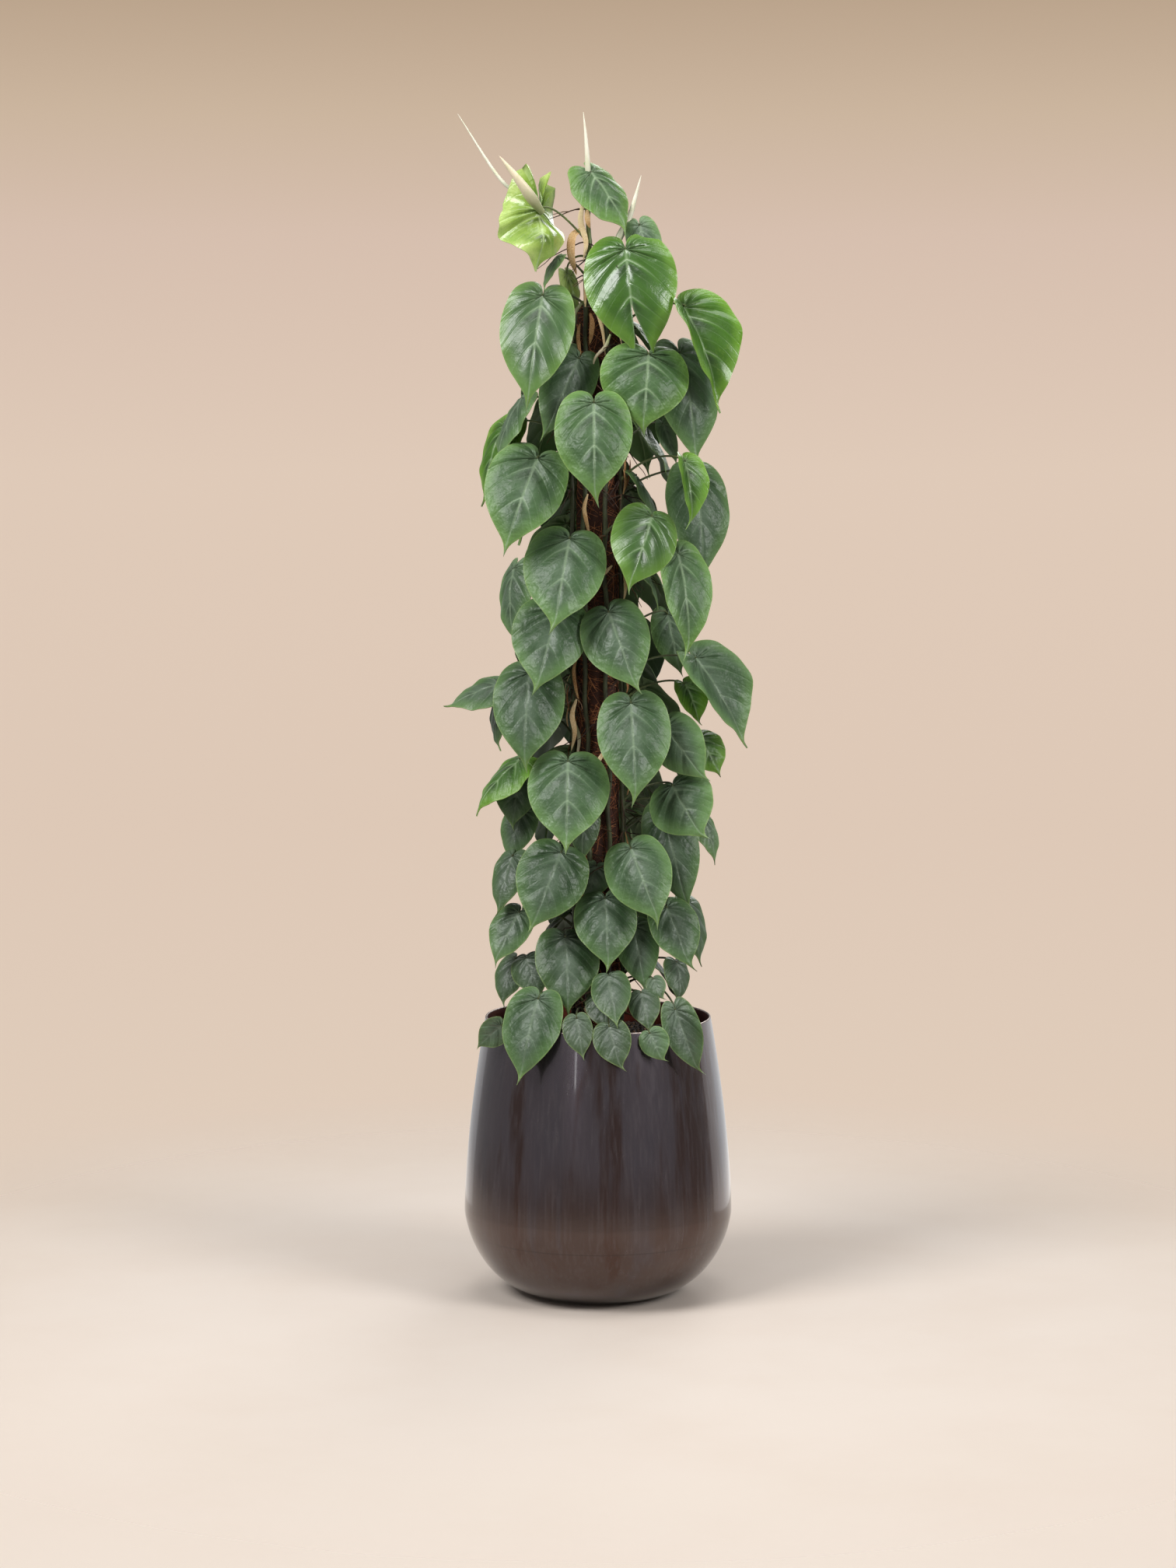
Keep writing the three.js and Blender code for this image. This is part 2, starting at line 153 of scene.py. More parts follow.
def smooth_path(points, shares):
    """Places at even shares of the length of a smooth curve through the points."""
    points = np.asarray(points, dtype=float)
    ends = np.vstack((2 * points[0] - points[1], points, 2 * points[-1] - points[-2]))
    t = np.linspace(0, 1, 12, endpoint=False)[:, None]
    spans = []
    for a, b, c, d in zip(ends, ends[1:], ends[2:], ends[3:]):
        bend = (2 * a - 5 * b + 4 * c - d) * t**2 + (3 * b - a - 3 * c + d) * t**3
        spans.append(0.5 * (2 * b + (c - a) * t + bend))
    curve = np.vstack(spans + [points[-1:]])
    run = np.concatenate(((0,), np.cumsum(np.linalg.norm(np.diff(curve, axis=0), axis=1))))
    return np.stack([np.interp(shares * run[-1], run, column) for column in curve.T], axis=-1)


def draws_from(seed):
    """The same seeded draws from -1 to 1 that place the far side's leaves in the solids."""
    state = seed
    while True:
        state = (state * 1664525 + 1013904223) % 4294967296
        yield state / 2147483648 - 1


# Meshes.
MARKS = ("veins", "spot", "look")

# The finishes of a vine's faces, in the order of the list in dress_plant.
UPPER, LOWER, STALK, SHOOT, ROOT, SHEATH, GLOSSY = range(7)


class Skin:
    """The mesh of one piece as it grows, with the marks on its corners that the finishes read:
    veins (count of veins from the base, gap between veins, distance from the rib), spot (distance
    from the edge, share of the length, share of the outline) and look (tone, shine, seed)."""

    def __init__(self):
        self.places = []
        self.faces = []
        self.finishes = []
        self.marks = {name: [] for name in MARKS}
        self.count = 0

    def add(self, places, faces, finish=0, **marks):
        """Adds faces with one finish, and their marks: one for all places, or one for each."""
        self.places.append(places)
        self.faces.append(faces + self.count)
        self.finishes.append(np.full(len(faces), finish))
        for name in MARKS:
            mark = np.broadcast_to(np.asarray(marks.get(name, (0, 0, 0)), dtype=float), places.shape)
            self.marks[name].append(mark[faces].reshape(-1, 3))
        self.count += len(places)

    def piece(self, name, finishes, crease=50):
        """Makes the object, smooth but for edges that bend by more than crease degrees."""
        places = np.vstack(self.places) * MM
        faces = np.vstack(self.faces)
        mesh = bpy.data.meshes.new(name)
        mesh.vertices.add(len(places))
        mesh.vertices.foreach_set("co", places.ravel())
        mesh.loops.add(faces.size)
        mesh.loops.foreach_set("vertex_index", faces.ravel())
        mesh.polygons.add(len(faces))
        mesh.polygons.foreach_set("loop_start", np.arange(len(faces)) * 4)
        mesh.polygons.foreach_set("material_index", np.concatenate(self.finishes))
        mesh.update(calc_edges=True)
        for mark, values in self.marks.items():
            layer = mesh.attributes.new(mark, "FLOAT_VECTOR", "CORNER")
            layer.data.foreach_set("vector", np.vstack(values).ravel())
        for finish in finishes:
            mesh.materials.append(finish)
        weld(mesh)
        mesh.shade_smooth()
        mesh.set_sharp_from_angle(angle=math.radians(crease))
        made = bpy.data.objects.new(name, mesh)
        bpy.context.scene.collection.objects.link(made)
        return made


def weld(mesh):
    """Joins places that coincide, such as the two halves of a blade along its rib."""
    grown = bmesh.new()
    grown.from_mesh(mesh)
    bmesh.ops.remove_doubles(grown, verts=grown.verts, dist=2e-6)
    grown.to_mesh(mesh)
    grown.free()


def grid_faces(rows, columns, closed=False):
    """Four-cornered faces over a grid of places, rows by columns, closed round each row if asked."""
    row = np.arange(rows - 1)[:, None] * columns
    column = np.arange(columns if closed else columns - 1)[None, :]
    following = (column + 1) % columns
    corners = (row + column, row + following, row + columns + following, row + columns + column)
    return np.stack([np.broadcast_to(c, (rows - 1, column.size)).ravel() for c in corners], axis=-1)


def tube(path, wide, thin=None, sides=8, across=(1.0, 0.0, 0.0)):
    """Places and faces of a rod along a path. Its section is an ellipse of radii wide and thin, and
    each end closes to a point. across is which way the wide radius lies at the path's start."""
    path = np.asarray(path, dtype=float)
    wide = np.broadcast_to(wide, len(path))
    thin = wide if thin is None else np.broadcast_to(thin, len(path))
    ahead = np.gradient(path, axis=0)
    ahead /= np.linalg.norm(ahead, axis=1)[:, None]
    angles = np.arange(sides) * 2 * math.pi / sides
    side = np.array(across, dtype=float)
    if abs(side @ ahead[0]) > 0.95:
        side = vector(0.3, 0.9, 0.3)
    rings = [np.repeat(path[:1], sides, axis=0)]
    for middle, way, a, b in zip(path, ahead, wide, thin):
        side = unit(side - (side @ way) * way)
        up = np.cross(way, side)
        rings.append(middle + a * np.outer(np.cos(angles), side) + b * np.outer(np.sin(angles), up))
    rings.append(np.repeat(path[-1:], sides, axis=0))
    return np.vstack(rings), grid_faces(len(rings), sides, closed=True)


def turned(profile, sides):
    """Places and faces of a profile of (radius, height) spun round the upright axis."""
    angles = np.arange(sides) * 2 * math.pi / sides
    profile = np.asarray(profile, dtype=float)
    x = np.outer(profile[:, 0], np.cos(angles))
    y = np.outer(profile[:, 0], np.sin(angles))
    z = np.repeat(profile[:, 1:], sides, axis=1)
    return np.stack((x, y, z), axis=-1).reshape(-1, 3), grid_faces(len(profile), sides, closed=True)


# Leaf places.
@dataclass
class Leaf:
    """Where a leaf hangs, which way it faces and how it is bent, in millimetres and degrees.

    turn twists it about its own length, fold brings its halves forwards from the rib, arch is how
    far its middle bulges as a share of its length, and lobe lengthens its lobes. Its stalk leaves
    the stem the distance drop below the notch, and bow says how it comes down into the notch.
    tone goes from 0, old and shaded, to 1, new, and shine from 0 to 1. wave is how far the margin
    of a blade 100 mm wide waves, crumple how far a young blade is ruffled, and tear how far one
    half's tip hangs aside."""

    notch: np.ndarray
    tip: np.ndarray
    facing: np.ndarray
    width: float
    turn: float = 0
    fold: float = -15
    arch: float = 0.08
    lobe: float = 1
    drop: float = 22
    bow: tuple = (0.2, 0.34)
    tone: float = 0.4
    shine: float = 0.4
    wave: float = 2.1
    crumple: float = 0
    tear: float = 0


@dataclass
class Sprig:
    """A spear or, where dry is given, a dry sheath: its half width and the places it passes, each
    with its distance ahead of the pole. tone and dry are its shade."""

    half: float
    through: tuple
    tone: float = 0
    dry: float | None = None


def seen(place, ahead):
    """A measured place, brought forward along the line of sight to its distance ahead of the pole."""
    share = (-ahead - EYE[1]) / -EYE[1]
    x, z = place
    return vector(EYE[0] + (x - EYE[0]) * share, -ahead, EYE[2] + (z - EYE[2]) * share)


def about(angle, distance, z):
    """A place at an angle round the pole (0 is the front, positive to the right) and a distance out."""
    a = math.radians(angle)
    return vector(distance * math.sin(a), -distance * math.cos(a), z)


def measured(notch, tip, ahead, width, **more):
    """A leaf measured from the front: notch and tip, then how far each stands ahead of the pole."""
    return Leaf(seen(notch, ahead[0]), seen(tip, ahead[1]), vector(0, -1, 0), width, **more)


def hanging(angle, out, heights, width, swing=0, **more):
    """A leaf of the sides or back: its angle round the pole, and how far out and how high its notch
    and tip are."""
    notch = about(angle, out[0], heights[0])
    tip = about(angle + swing, out[1], heights[1])
    return Leaf(notch, tip, about(angle, 1, 0), width, **more)


VINES = [
    {
        "name": "vine_front_left", "angle": -28, "top": 1296,
        "leaves": [
            measured((-66, 1253), (-68, 1187), (60, 84), 96, lobe=5.2, arch=0.12, turn=-27, fold=-34,
                     drop=34, bow=(0.1, -0.25), tone=0.95, shine=1, wave=3, crumple=11),
            measured((-8, 1296), (36, 1226), (34, 52), 68, lobe=1.5, turn=-32, fold=-25, drop=42,
                     tone=0.55),
            measured((-64, 1157), (-82, 1024), (62, 92), 88, turn=5, drop=12, tone=0.55, shine=0.6),
            measured((-35, 1182), (-25, 1132), (25, 28), 26, turn=-35, drop=-16, bow=(0.5, 0.05),
                     tone=0.95),
            measured((-22, 1085), (-66, 988), (42, 56), 64, tone=0.32),
            measured((-70, 972), (-110, 858), (66, 98), 94, turn=8, fold=-8, tone=0.46),
            measured((-33, 880), (-52, 766), (70, 108), 98, turn=4, tone=0.42),
            measured((-46, 800), (-73, 697), (46, 84), 92, turn=5, tone=0.34),
            measured((-35, 622), (-37, 512), (72, 108), 98, tone=0.4),
            measured((-17, 572), (-18, 500), (38, 45), 40, tone=0.12),
            measured((-43, 516), (-80, 420), (62, 96), 86, turn=3, drop=5, tone=0.24),
            measured((-38, 418), (-35, 322), (60, 100), 78, turn=-8, tone=0.16),
            measured((-70, 345), (-92, 242), (112, 142), 72, turn=15, tone=0.34),
            measured((-25, 322), (-17, 271), (126, 143), 36, tone=0.12),
            measured((-46, 1200), (-64, 1160), (40, 48), 24, turn=60, tone=0.45),
        ],
    },
    {
        "name": "vine_left", "angle": -75, "top": 1060,
        "leaves": [
            measured((-88, 1040), (-118, 962), (30, 36), 60, turn=66, tone=0.35),
            measured((-108, 1010), (-132, 915), (8, 10), 70, turn=52, tone=0.84),
            measured((-97, 845), (-97, 752), (4, 16), 60, turn=50, tone=0.4),
            measured((-112, 712), (-178, 683), (16, 6), 60, turn=56, tone=0.3),
            measured((-80, 725), (-86, 608), (52, 86), 86, turn=5, tone=0.25),
            measured((-118, 700), (-115, 633), (-8, 4), 50, turn=66, tone=0.2),
            measured((-92, 626), (-143, 560), (44, 58), 66, turn=58, fold=-24, tone=0.72),
            measured((-90, 612), (-101, 540), (28, 38), 54, tone=0.2),
            measured((-88, 565), (-105, 502), (14, 24), 45, turn=20, tone=0.25),
            measured((-100, 512), (-116, 440), (40, 58), 44, turn=30, tone=0.15),
            measured((-92, 446), (-123, 382), (48, 66), 50, turn=20, tone=0.3),
            measured((-84, 392), (-66, 345), (56, 80), 50, tone=0.12),
            measured((-97, 392), (-113, 334), (34, 52), 40, turn=30, tone=0.15),
            measured((-113, 313), (-143, 286), (92, 82), 34, drop=-14, arch=0, fold=0, tone=0.25),
            hanging(-90, (46, 74), (1112, 1048), 52, tone=0.4),
            hanging(-94, (48, 76), (958, 888), 56, tone=0.35),
            hanging(-100, (50, 80), (862, 790), 60, tone=0.32),
            hanging(-96, (50, 80), (745, 675), 58, tone=0.28),
            hanging(-98, (48, 76), (500, 436), 52, tone=0.2),
        ],
    },
    {
        "name": "vine_front_right", "angle": 20, "top": 1215,
        "leaves": [
            measured((31, 1209), (45, 1080), (57, 66), 110, arch=0.12, fold=-14, tone=0.72, shine=1,
                     tear=24),
            measured((47, 1236), (64, 1166), (35, 39), 42, tone=0.35),
            measured((58, 1090), (50, 996), (72, 87), 106, turn=-4, tone=0.55),
            measured((-5, 1035), (-4, 915), (99, 124), 92, tone=0.5),
            measured((62, 905), (32, 816), (80, 110), 80, turn=-8, tone=0.66, shine=0.7),
            measured((12, 795), (47, 698), (66, 98), 82, tone=0.36),
            measured((38, 690), (45, 568), (76, 112), 88, tone=0.36),
            measured((38, 521), (74, 428), (76, 110), 80, tone=0.34),
            measured((-2, 500), (-14, 456), (36, 43), 42, tone=0.15),
            measured((8, 463), (13, 374), (60, 98), 76, tone=0.22),
            measured((42, 430), (56, 350), (48, 74), 52, tone=0.26),
            measured((12, 372), (22, 309), (96, 140), 48, tone=0.18),
            measured((6, 350), (10, 303), (82, 106), 44, tone=0.1),
            measured((13, 312), (28, 257), (134, 154), 44, fold=-4, drop=-4, tone=0.14),
            measured((50, 352), (61, 303), (92, 122), 38, tone=0.1),
            measured((60, 304), (77, 268), (128, 136), 36, drop=-12, tone=0.38),
            measured((64, 368), (76, 342), (84, 98), 24, tone=0.2),
        ],
    },
    {
        "name": "vine_right", "angle": 66, "top": 1150,
        "leaves": [
            measured((100, 1145), (138, 1021), (40, 60), 100, turn=-40, fold=38, tone=0.82, shine=0.8),
            measured((94, 1092), (113, 957), (36, 56), 80, turn=-20, tone=0.4),
            measured((74, 1010), (92, 962), (34, 39), 26, fold=35, tone=0.3),
            measured((100, 968), (108, 890), (66, 80), 46, fold=40, turn=-30, tone=0.8, shine=0.7),
            measured((112, 952), (122, 825), (16, 36), 78, turn=-15, tone=0.3),
            measured((92, 862), (106, 738), (66, 92), 64, turn=-25, fold=10, tone=0.5),
            measured((80, 792), (96, 718), (-3, 1), 48, bow=(0.2, -0.2), tone=0.4),
            measured((113, 742), (172, 637), (26, 36), 84, turn=-40, fold=22, tone=0.36),
            measured((100, 712), (118, 663), (26, 34), 42, turn=-25, fold=20, tone=0.8),
            measured((78, 662), (127, 596), (48, 70), 64, turn=6, tone=0.38),
            measured((116, 650), (143, 604), (26, 34), 54, turn=-30, tone=0.75),
            measured((86, 594), (124, 528), (52, 82), 84, turn=8, tone=0.4),
            measured((118, 560), (138, 502), (16, 26), 34, turn=-40, drop=-6, tone=0.35),
            measured((76, 560), (106, 442), (28, 42), 66, tone=0.26),
            measured((80, 452), (109, 375), (60, 84), 60, turn=-15, tone=0.22),
            measured((106, 458), (118, 382), (14, 30), 42, turn=-40, tone=0.15),
            measured((92, 388), (94, 338), (56, 76), 36, turn=-30, tone=0.12),
            measured((90, 332), (119, 252), (108, 114), 46, fold=20, drop=-8, tone=0.22),
            hanging(92, (50, 80), (1120, 1048), 58, tone=0.4),
            hanging(77, (46, 72), (952, 886), 50, tone=0.35),
            hanging(83, (46, 72), (858, 796), 50, tone=0.3),
            hanging(90, (48, 78), (692, 622), 58, tone=0.28),
            hanging(90, (48, 76), (500, 436), 52, tone=0.2),
        ],
    },
]

# The far side's vines: leaves hang like shingles, in turn to the left and right of their own stem.
BACK_VINES = [
    {"name": "vine_right_back", "angle": 126, "top": 1160, "lowest": 404},
    {"name": "vine_back_right", "angle": 163, "top": 1165, "lowest": 441},
    {"name": "vine_back_left", "angle": 198, "top": 1160, "lowest": 404},
    {"name": "vine_left_back", "angle": 235, "top": 1150, "lowest": 441},
]
BACK_SPACING = 76
BACK_HIGHEST = 1135
BACK_REACH = (58, 104)

# Shoots, and dry sheaths that stay where a leaf has opened.
SPRIGS = {
    "vine_front_left": [
        Sprig(6.5, ((-64, 1250, 60), (-76, 1266, 78), (-92, 1288, 86), (-113, 1314, 84)), tone=0.6),
        Sprig(1.9, ((-64, 1248, 56), (-80, 1264, 44), (-112, 1288, 42), (-160, 1361, 46)), tone=0),
        Sprig(3, ((-13, 1262, 27), (-12, 1300, 32), (-14, 1332, 34), (-17, 1363, 34)), tone=0.1),
        Sprig(5, ((-15, 1232, 31), (-29, 1224, 36), (-31, 1202, 38), (-25, 1180, 33)), dry=0.55),
        Sprig(3, ((-25, 694, 36), (-30, 676, 42), (-27, 655, 44), (-31, 634, 42)), dry=0.8),
        Sprig(3.4, ((-17, 1262, 31), (-20, 1240, 35), (-14, 1216, 34), (-17, 1196, 32)), dry=0.95),
        Sprig(2.2, ((-8, 1176, 31), (-3, 1146, 35), (5, 1116, 35), (8, 1088, 32)), dry=0.85),
        Sprig(3, ((-9, 1136, 31), (-7, 1126, 36), (-8, 1112, 37), (-10, 1100, 33)), dry=0.3),
        Sprig(2.2, ((-21, 1124, 28), (-23, 1112, 34), (-22, 1098, 35), (-19, 1084, 30)), dry=0.4),
        Sprig(2.2, ((-17, 1150, 28), (-27, 1136, 33), (-30, 1118, 33), (-29, 1102, 28)), tone=0.5),
        Sprig(2, ((14, 1112, 31), (8, 1098, 36), (-3, 1086, 37), (-8, 1068, 33)), tone=0.7),
        Sprig(2.2, ((-20, 1062, 29), (-24, 1048, 34), (-23, 1030, 34), (-18, 1014, 29)), dry=0.35),
        Sprig(2.4, ((-12, 930, 30), (-16, 914, 35), (-13, 896, 35), (-9, 880, 30)), dry=0.6),
        Sprig(2, ((-24, 744, 28), (-28, 728, 33), (-26, 708, 33), (-22, 690, 28)), dry=0.4),
        Sprig(1.8, ((-27, 668, 27), (-22, 650, 34), (-24, 630, 35), (-27, 612, 31)), tone=0.55),
    ],
    "vine_front_right": [
        Sprig(4.2, ((10, 1190, 27), (24, 1222, 27), (36, 1246, 25), (49, 1292, 26)), tone=0.1),
        Sprig(2, ((10, 1172, 30), (16, 1148, 34), (22, 1124, 35), (27, 1100, 32)), dry=0.7),
        Sprig(2.4, ((16, 848, 34), (5, 838, 38), (-4, 842, 40), (-14, 850, 36)), dry=0.9),
        Sprig(2.6, ((12, 640, 34), (4, 628, 38), (-5, 612, 40), (-2, 596, 38)), dry=0.85),
    ],
}


def back_leaves(vine, seed):
    """A far-side vine's leaves, one above another, larger higher up."""
    draw, shade = draws_from(seed), draws_from(seed + 60)
    leaves = []
    for z in range(vine["lowest"], BACK_HIGHEST, BACK_SPACING):
        angle = vine["angle"] + (11 if len(leaves) % 2 else -11) + 4 * next(draw)
        grown = min(max((z - 330) / 300, 0), 1)
        width = 60 + 24 * grown + 6 * next(draw)
        fall = 1.2 * width + 5 * next(draw)
        out = [reach + 3 * next(draw) for reach in BACK_REACH]
        turn = 20 * next(draw)
        swing = 3 * next(draw)
        tone = 0.22 + 0.26 * (z - 400) / 700 + 0.13 * next(shade)
        fold = -15 + 9 * next(shade)
        more = {"turn": turn, "fold": fold, "tone": tone, "wave": 2.4}
        leaves.append(hanging(angle, out, (z, z - fall), width, swing, **more))
    return leaves


def stem_of(vine):
    """A stem's centre at a height: it sways a little as it climbs the pole."""
    def stem(z):
        height = min(max(z, SOIL_TOP - STEM_BURIED), vine["top"])
        climbed = max(height - SOIL_TOP, 0)
        return about(vine["angle"] + STEM_SWAY * math.sin(climbed / STEM_WAVE), STEM_OFFSET, height)
    return stem


# Leaf shape.
class FlatBlade:
    """Half a flat blade as a grid. Its rows fan out from the notch, then leave the rib one after
    another, so that they run as the veins do, and its columns run from the rib to the edge."""

    def __init__(self):
        self.row = np.linspace(0, 1, BLADE_ROWS + 1)
        u_edge, v_edge = smooth_path(LEAF_OUTLINE, self.row).T
        v_rib = np.clip(v_edge - VEIN_SLANT * u_edge**0.7, 0, 1)
        self.column = np.linspace(0, 1, BLADE_COLUMNS + 1) ** 1.5
        self.u = np.outer(u_edge, self.column)
        self.v = v_rib[:, None] + np.outer(v_edge - v_rib, self.column)
        bow = VEIN_CURVE * 4 * self.column * (1 - self.column)
        bent = self.row[:, None] + (1 - self.row[:, None]) * bow
        self.phase = VEIN_COUNT * (1 - (1 - bent) ** VEIN_CROWDING)
        self.faces = grid_faces(BLADE_ROWS + 1, BLADE_COLUMNS + 1)


def blade_axes(leaf):
    """The blade's own directions: along it, across it and out of its upper face, and its length."""
    along = leaf.tip - leaf.notch
    length = np.linalg.norm(along)
    along = along / length
    level = unit(np.cross(leaf.facing, along))
    turn = math.radians(leaf.turn)
    across = level * math.cos(turn) + np.cross(along, level) * math.sin(turn)
    return along, across, np.cross(along, across), length


def blade_lift(leaf, length, flat, side, draw):
    """How far half a blade stands out of its own plane: its fold and arch, the hollow along its rib,
    lobes and margin that roll back, cushions between the veins, waves and a slight twist."""
    u, v, column, row = side * flat.u, flat.v, flat.column, flat.row[:, None]
    wide = np.abs(u) * leaf.width
    grown = leaf.width / 100
    crease = np.sqrt(wide**2 + CREASE_RADIUS**2) - CREASE_RADIUS
    lift = crease * math.sin(math.radians(leaf.fold)) + leaf.arch * length * 4 * v * (1 - v)
    lift -= RIB_HOLLOW * grown * np.exp(-((wide / 8) ** 2)) + RIB_GROOVE * np.exp(-((wide / 2) ** 2))
    lift -= LOBE_ROLL * length * (np.clip(-v, 0, 1) / LOBE_DEPTH) ** 2 + MARGIN_ROLL * grown * column**3
    cushion = np.abs(np.sin(math.pi * flat.phase)) ** 0.7 - 0.6
    cushion = cushion * np.sqrt(column) * (1 - column) ** 1.3 * (1 - 0.7 * row**3)
    lift += CUSHION_HEIGHT * grown * cushion
    place = row + 0.3 * side
    long_wave = np.sin(2 * math.pi * (draw[0] + 3.2 * place))
    short_wave = np.sin(2 * math.pi * (draw[1] + 6.1 * place))
    waves = long_wave + 0.5 * short_wave
    lift += leaf.wave * grown * column**2 * waves * np.sqrt(np.sin(math.pi * row))
    buckle = BUCKLE * np.sin(5 * u + 7 * draw[2]) * np.sin(4 * v + 7 * draw[3])
    lift += grown * (buckle + TWIST * (draw[5] - 0.5) * u * v)
    lift += TIP_LIFT * (draw[6] - 0.4) * grown * tipward(v)
    return lift + leaf.crumple * crumpled(flat, side, draw)


def tipward(v):
    """Grows from nothing to one along the last fifth of a blade."""
    return np.clip((v - 0.78) / 0.22, 0, 1) ** 2


def crumpled(flat, side, draw):
    """The ruffles of a young leaf's lobes, which have yet to smooth out."""
    ruffle = np.sin(2 * math.pi * (draw[7] + 9 * flat.row[:, None])) * flat.column
    return ruffle * np.clip(0.25 - flat.v * 6, 0, 1) + 0.3 * np.sin(9 * flat.v + 5 * side * flat.u + 3)


def add_blade(skin, leaf, flat, rng):
    """Both halves of a blade: upper and lower faces, and the rim between them."""
    along, across, out, length = blade_axes(leaf)
    draw = rng.random(10)
    v = flat.v
    # Blades low on the plant get a darker tone: painted shade.
    shaded = 0.16 * min(max((SHADED_BELOW - leaf.notch[2]) / 150, 0), 1)
    look = (max(leaf.tone - shaded, 0), leaf.shine, draw[8])
    run = np.where(v < 0, leaf.lobe * v, v) * length
    thickness = BLADE_THICKNESS / 2
    finish = GLOSSY if leaf.shine > 0.5 else UPPER
    for side in (1, -1):
        wide = side * flat.u * leaf.width * (1 + side * UNEVEN_HALVES * (draw[9] - 0.5))
        lift = blade_lift(leaf, length, flat, side, draw)
        aside = wide * math.cos(math.radians(leaf.fold)) + TIP_BEND * (draw[4] - 0.5) * tipward(v)
        if side > 0:
            aside = aside + leaf.tear * np.clip((v - 0.5) / 0.5, 0, 1) ** 1.2
        aside = aside + 0.4 * leaf.crumple * side * np.abs(crumpled(flat, side, draw)) * flat.column
        place = leaf.notch + run[..., None] * along + lift[..., None] * out + aside[..., None] * across
        ridge = RIB_RIDGE * (1 - np.clip(v, 0, 1)) * np.exp(-((wide / 1.5) ** 2)) * (v >= 0)
        upper = place + thickness * out
        lower = place - (thickness + ridge)[..., None] * out
        gap = np.linalg.norm(np.gradient(place, axis=0), axis=-1) / np.gradient(flat.phase, axis=0)
        from_edge = np.linalg.norm(place[:, -1:] - place[:, :1], axis=-1) * (1 - flat.column)
        outward_share = np.broadcast_to(flat.column, v.shape)
        marks = {
            "veins": np.stack((flat.phase, np.clip(gap, 0, 40), np.abs(wide)), axis=-1).reshape(-1, 3),
            "spot": np.stack((from_edge, v, outward_share), axis=-1).reshape(-1, 3),
            "look": look,
        }
        outward = flat.faces if side < 0 else flat.faces[:, ::-1]
        skin.add(upper.reshape(-1, 3), outward, finish, **marks)
        skin.add(lower.reshape(-1, 3), outward[:, ::-1], LOWER, **marks)
        rim = np.stack((upper[:, -1], lower[:, -1]), axis=1).reshape(-1, 3)
        rim_faces = grid_faces(len(upper), 2)
        skin.add(rim, rim_faces if side > 0 else rim_faces[:, ::-1], finish, look=look,
                 spot=(0, 0.5, 1), veins=(0.5, 5, 20))
        if side > 0 and leaf.tear:
            torn = np.stack((upper[:, 0], lower[:, 0]), axis=1).reshape(-1, 3)
            skin.add(torn, rim_faces[:, ::-1], finish, look=look, spot=(9, 0.5, 0), veins=(0.5, 5, 20))


def petiole_path(leaf, stem):
    """The stalk leaves the stem upwards, arches over and comes down into the blade's notch."""
    along, _, out, _ = blade_axes(leaf)
    root = stem(leaf.notch[2] - leaf.drop)
    reach = np.linalg.norm(leaf.notch - root)
    away = leaf.notch - root
    away[2] = 0
    rise = root + unit(away) * 0.3 * reach + vector(0, 0, 0.3 * reach)
    over = leaf.notch - along * leaf.bow[0] * reach - out * leaf.bow[1] * reach
    end = leaf.notch - 0.5 * out
    t = np.linspace(0, 1, PETIOLE_STEPS)[:, None]
    return (1 - t) ** 3 * root + 3 * (1 - t) ** 2 * t * rise + 3 * (1 - t) * t**2 * over + t**3 * end


def add_petiole(skin, leaf, stem, rng):
    """A leaf's stalk, thicker where it leaves the stem."""
    path = petiole_path(leaf, stem)
    share = np.linspace(0, 1, len(path))
    radius = PETIOLE_RADIUS * (1 - 0.2 * share + 0.9 * np.exp(-share / 0.07))
    places, faces = tube(path, radius, sides=10)
    skin.add(places, faces, STALK, look=(0.2 + 0.5 * leaf.tone, 0.5, rng.random()))


def add_stem(skin, vine, stem, rng):
    """The stem, a little swollen and bent where each leaf leaves it, and pale at its young top."""
    heights = np.arange(SOIL_TOP - STEM_BURIED + 0.5, vine["top"], 4.0)
    joints = np.array([leaf.notch[2] - leaf.drop for leaf in vine["leaves"]])
    swelling = np.exp(-(((heights[:, None] - joints) / 4.5) ** 2)).max(axis=1)
    path = np.array([stem(z) for z in heights])
    sway = np.sin(heights / 23 + 7 * rng.random()) + 0.7 * np.sin(heights / 11 + 7 * rng.random())
    path[:, 0] += 1.3 * sway * math.cos(math.radians(vine["angle"]))
    path[:, 1] += 1.3 * sway * math.sin(math.radians(vine["angle"]))
    places, faces = tube(path, STEM_RADIUS * (0.95 + 0.3 * swelling), sides=12)
    tone = 0.2 + 0.75 * np.clip((places[:, 2] - YOUNG_STEM_BOTTOM) / YOUNG_STEM_LENGTH, 0, 1)
    look = np.stack((tone, np.full(len(tone), 0.4), np.full(len(tone), rng.random())), axis=-1)
    skin.add(places, faces, STALK, look=look)


def add_roots(skin, vine, stem, rng):
    """Thin aerial roots that reach from the stem's joints round the pole or hang free."""
    for leaf in vine["leaves"]:
        for _ in range(rng.integers(2, 5)):
            start = stem(leaf.notch[2] - leaf.drop)
            around = unit(np.cross((0, 0, 1), start * (1, 1, 0))) * rng.choice((-1, 1))
            outward = unit(start * (1, 1, 0)) * rng.uniform(-0.1, 0.5)
            length = rng.uniform(*ROOT_LENGTHS)
            steps = np.linspace(0, 1, ROOT_STEPS)[:, None]
            wander = np.cumsum(rng.normal(0, 0.9, (ROOT_STEPS, 3)), axis=0)
            path = start + length * steps * (around + outward) + wander
            path[:, 2] -= length * rng.uniform(0.1, 0.8) * steps[:, 0] ** 1.5
            places, faces = tube(path, np.linspace(*ROOT_RADII, ROOT_STEPS), sides=5)
            skin.add(places, faces, ROOT, look=(rng.random(), 0, rng.random()))


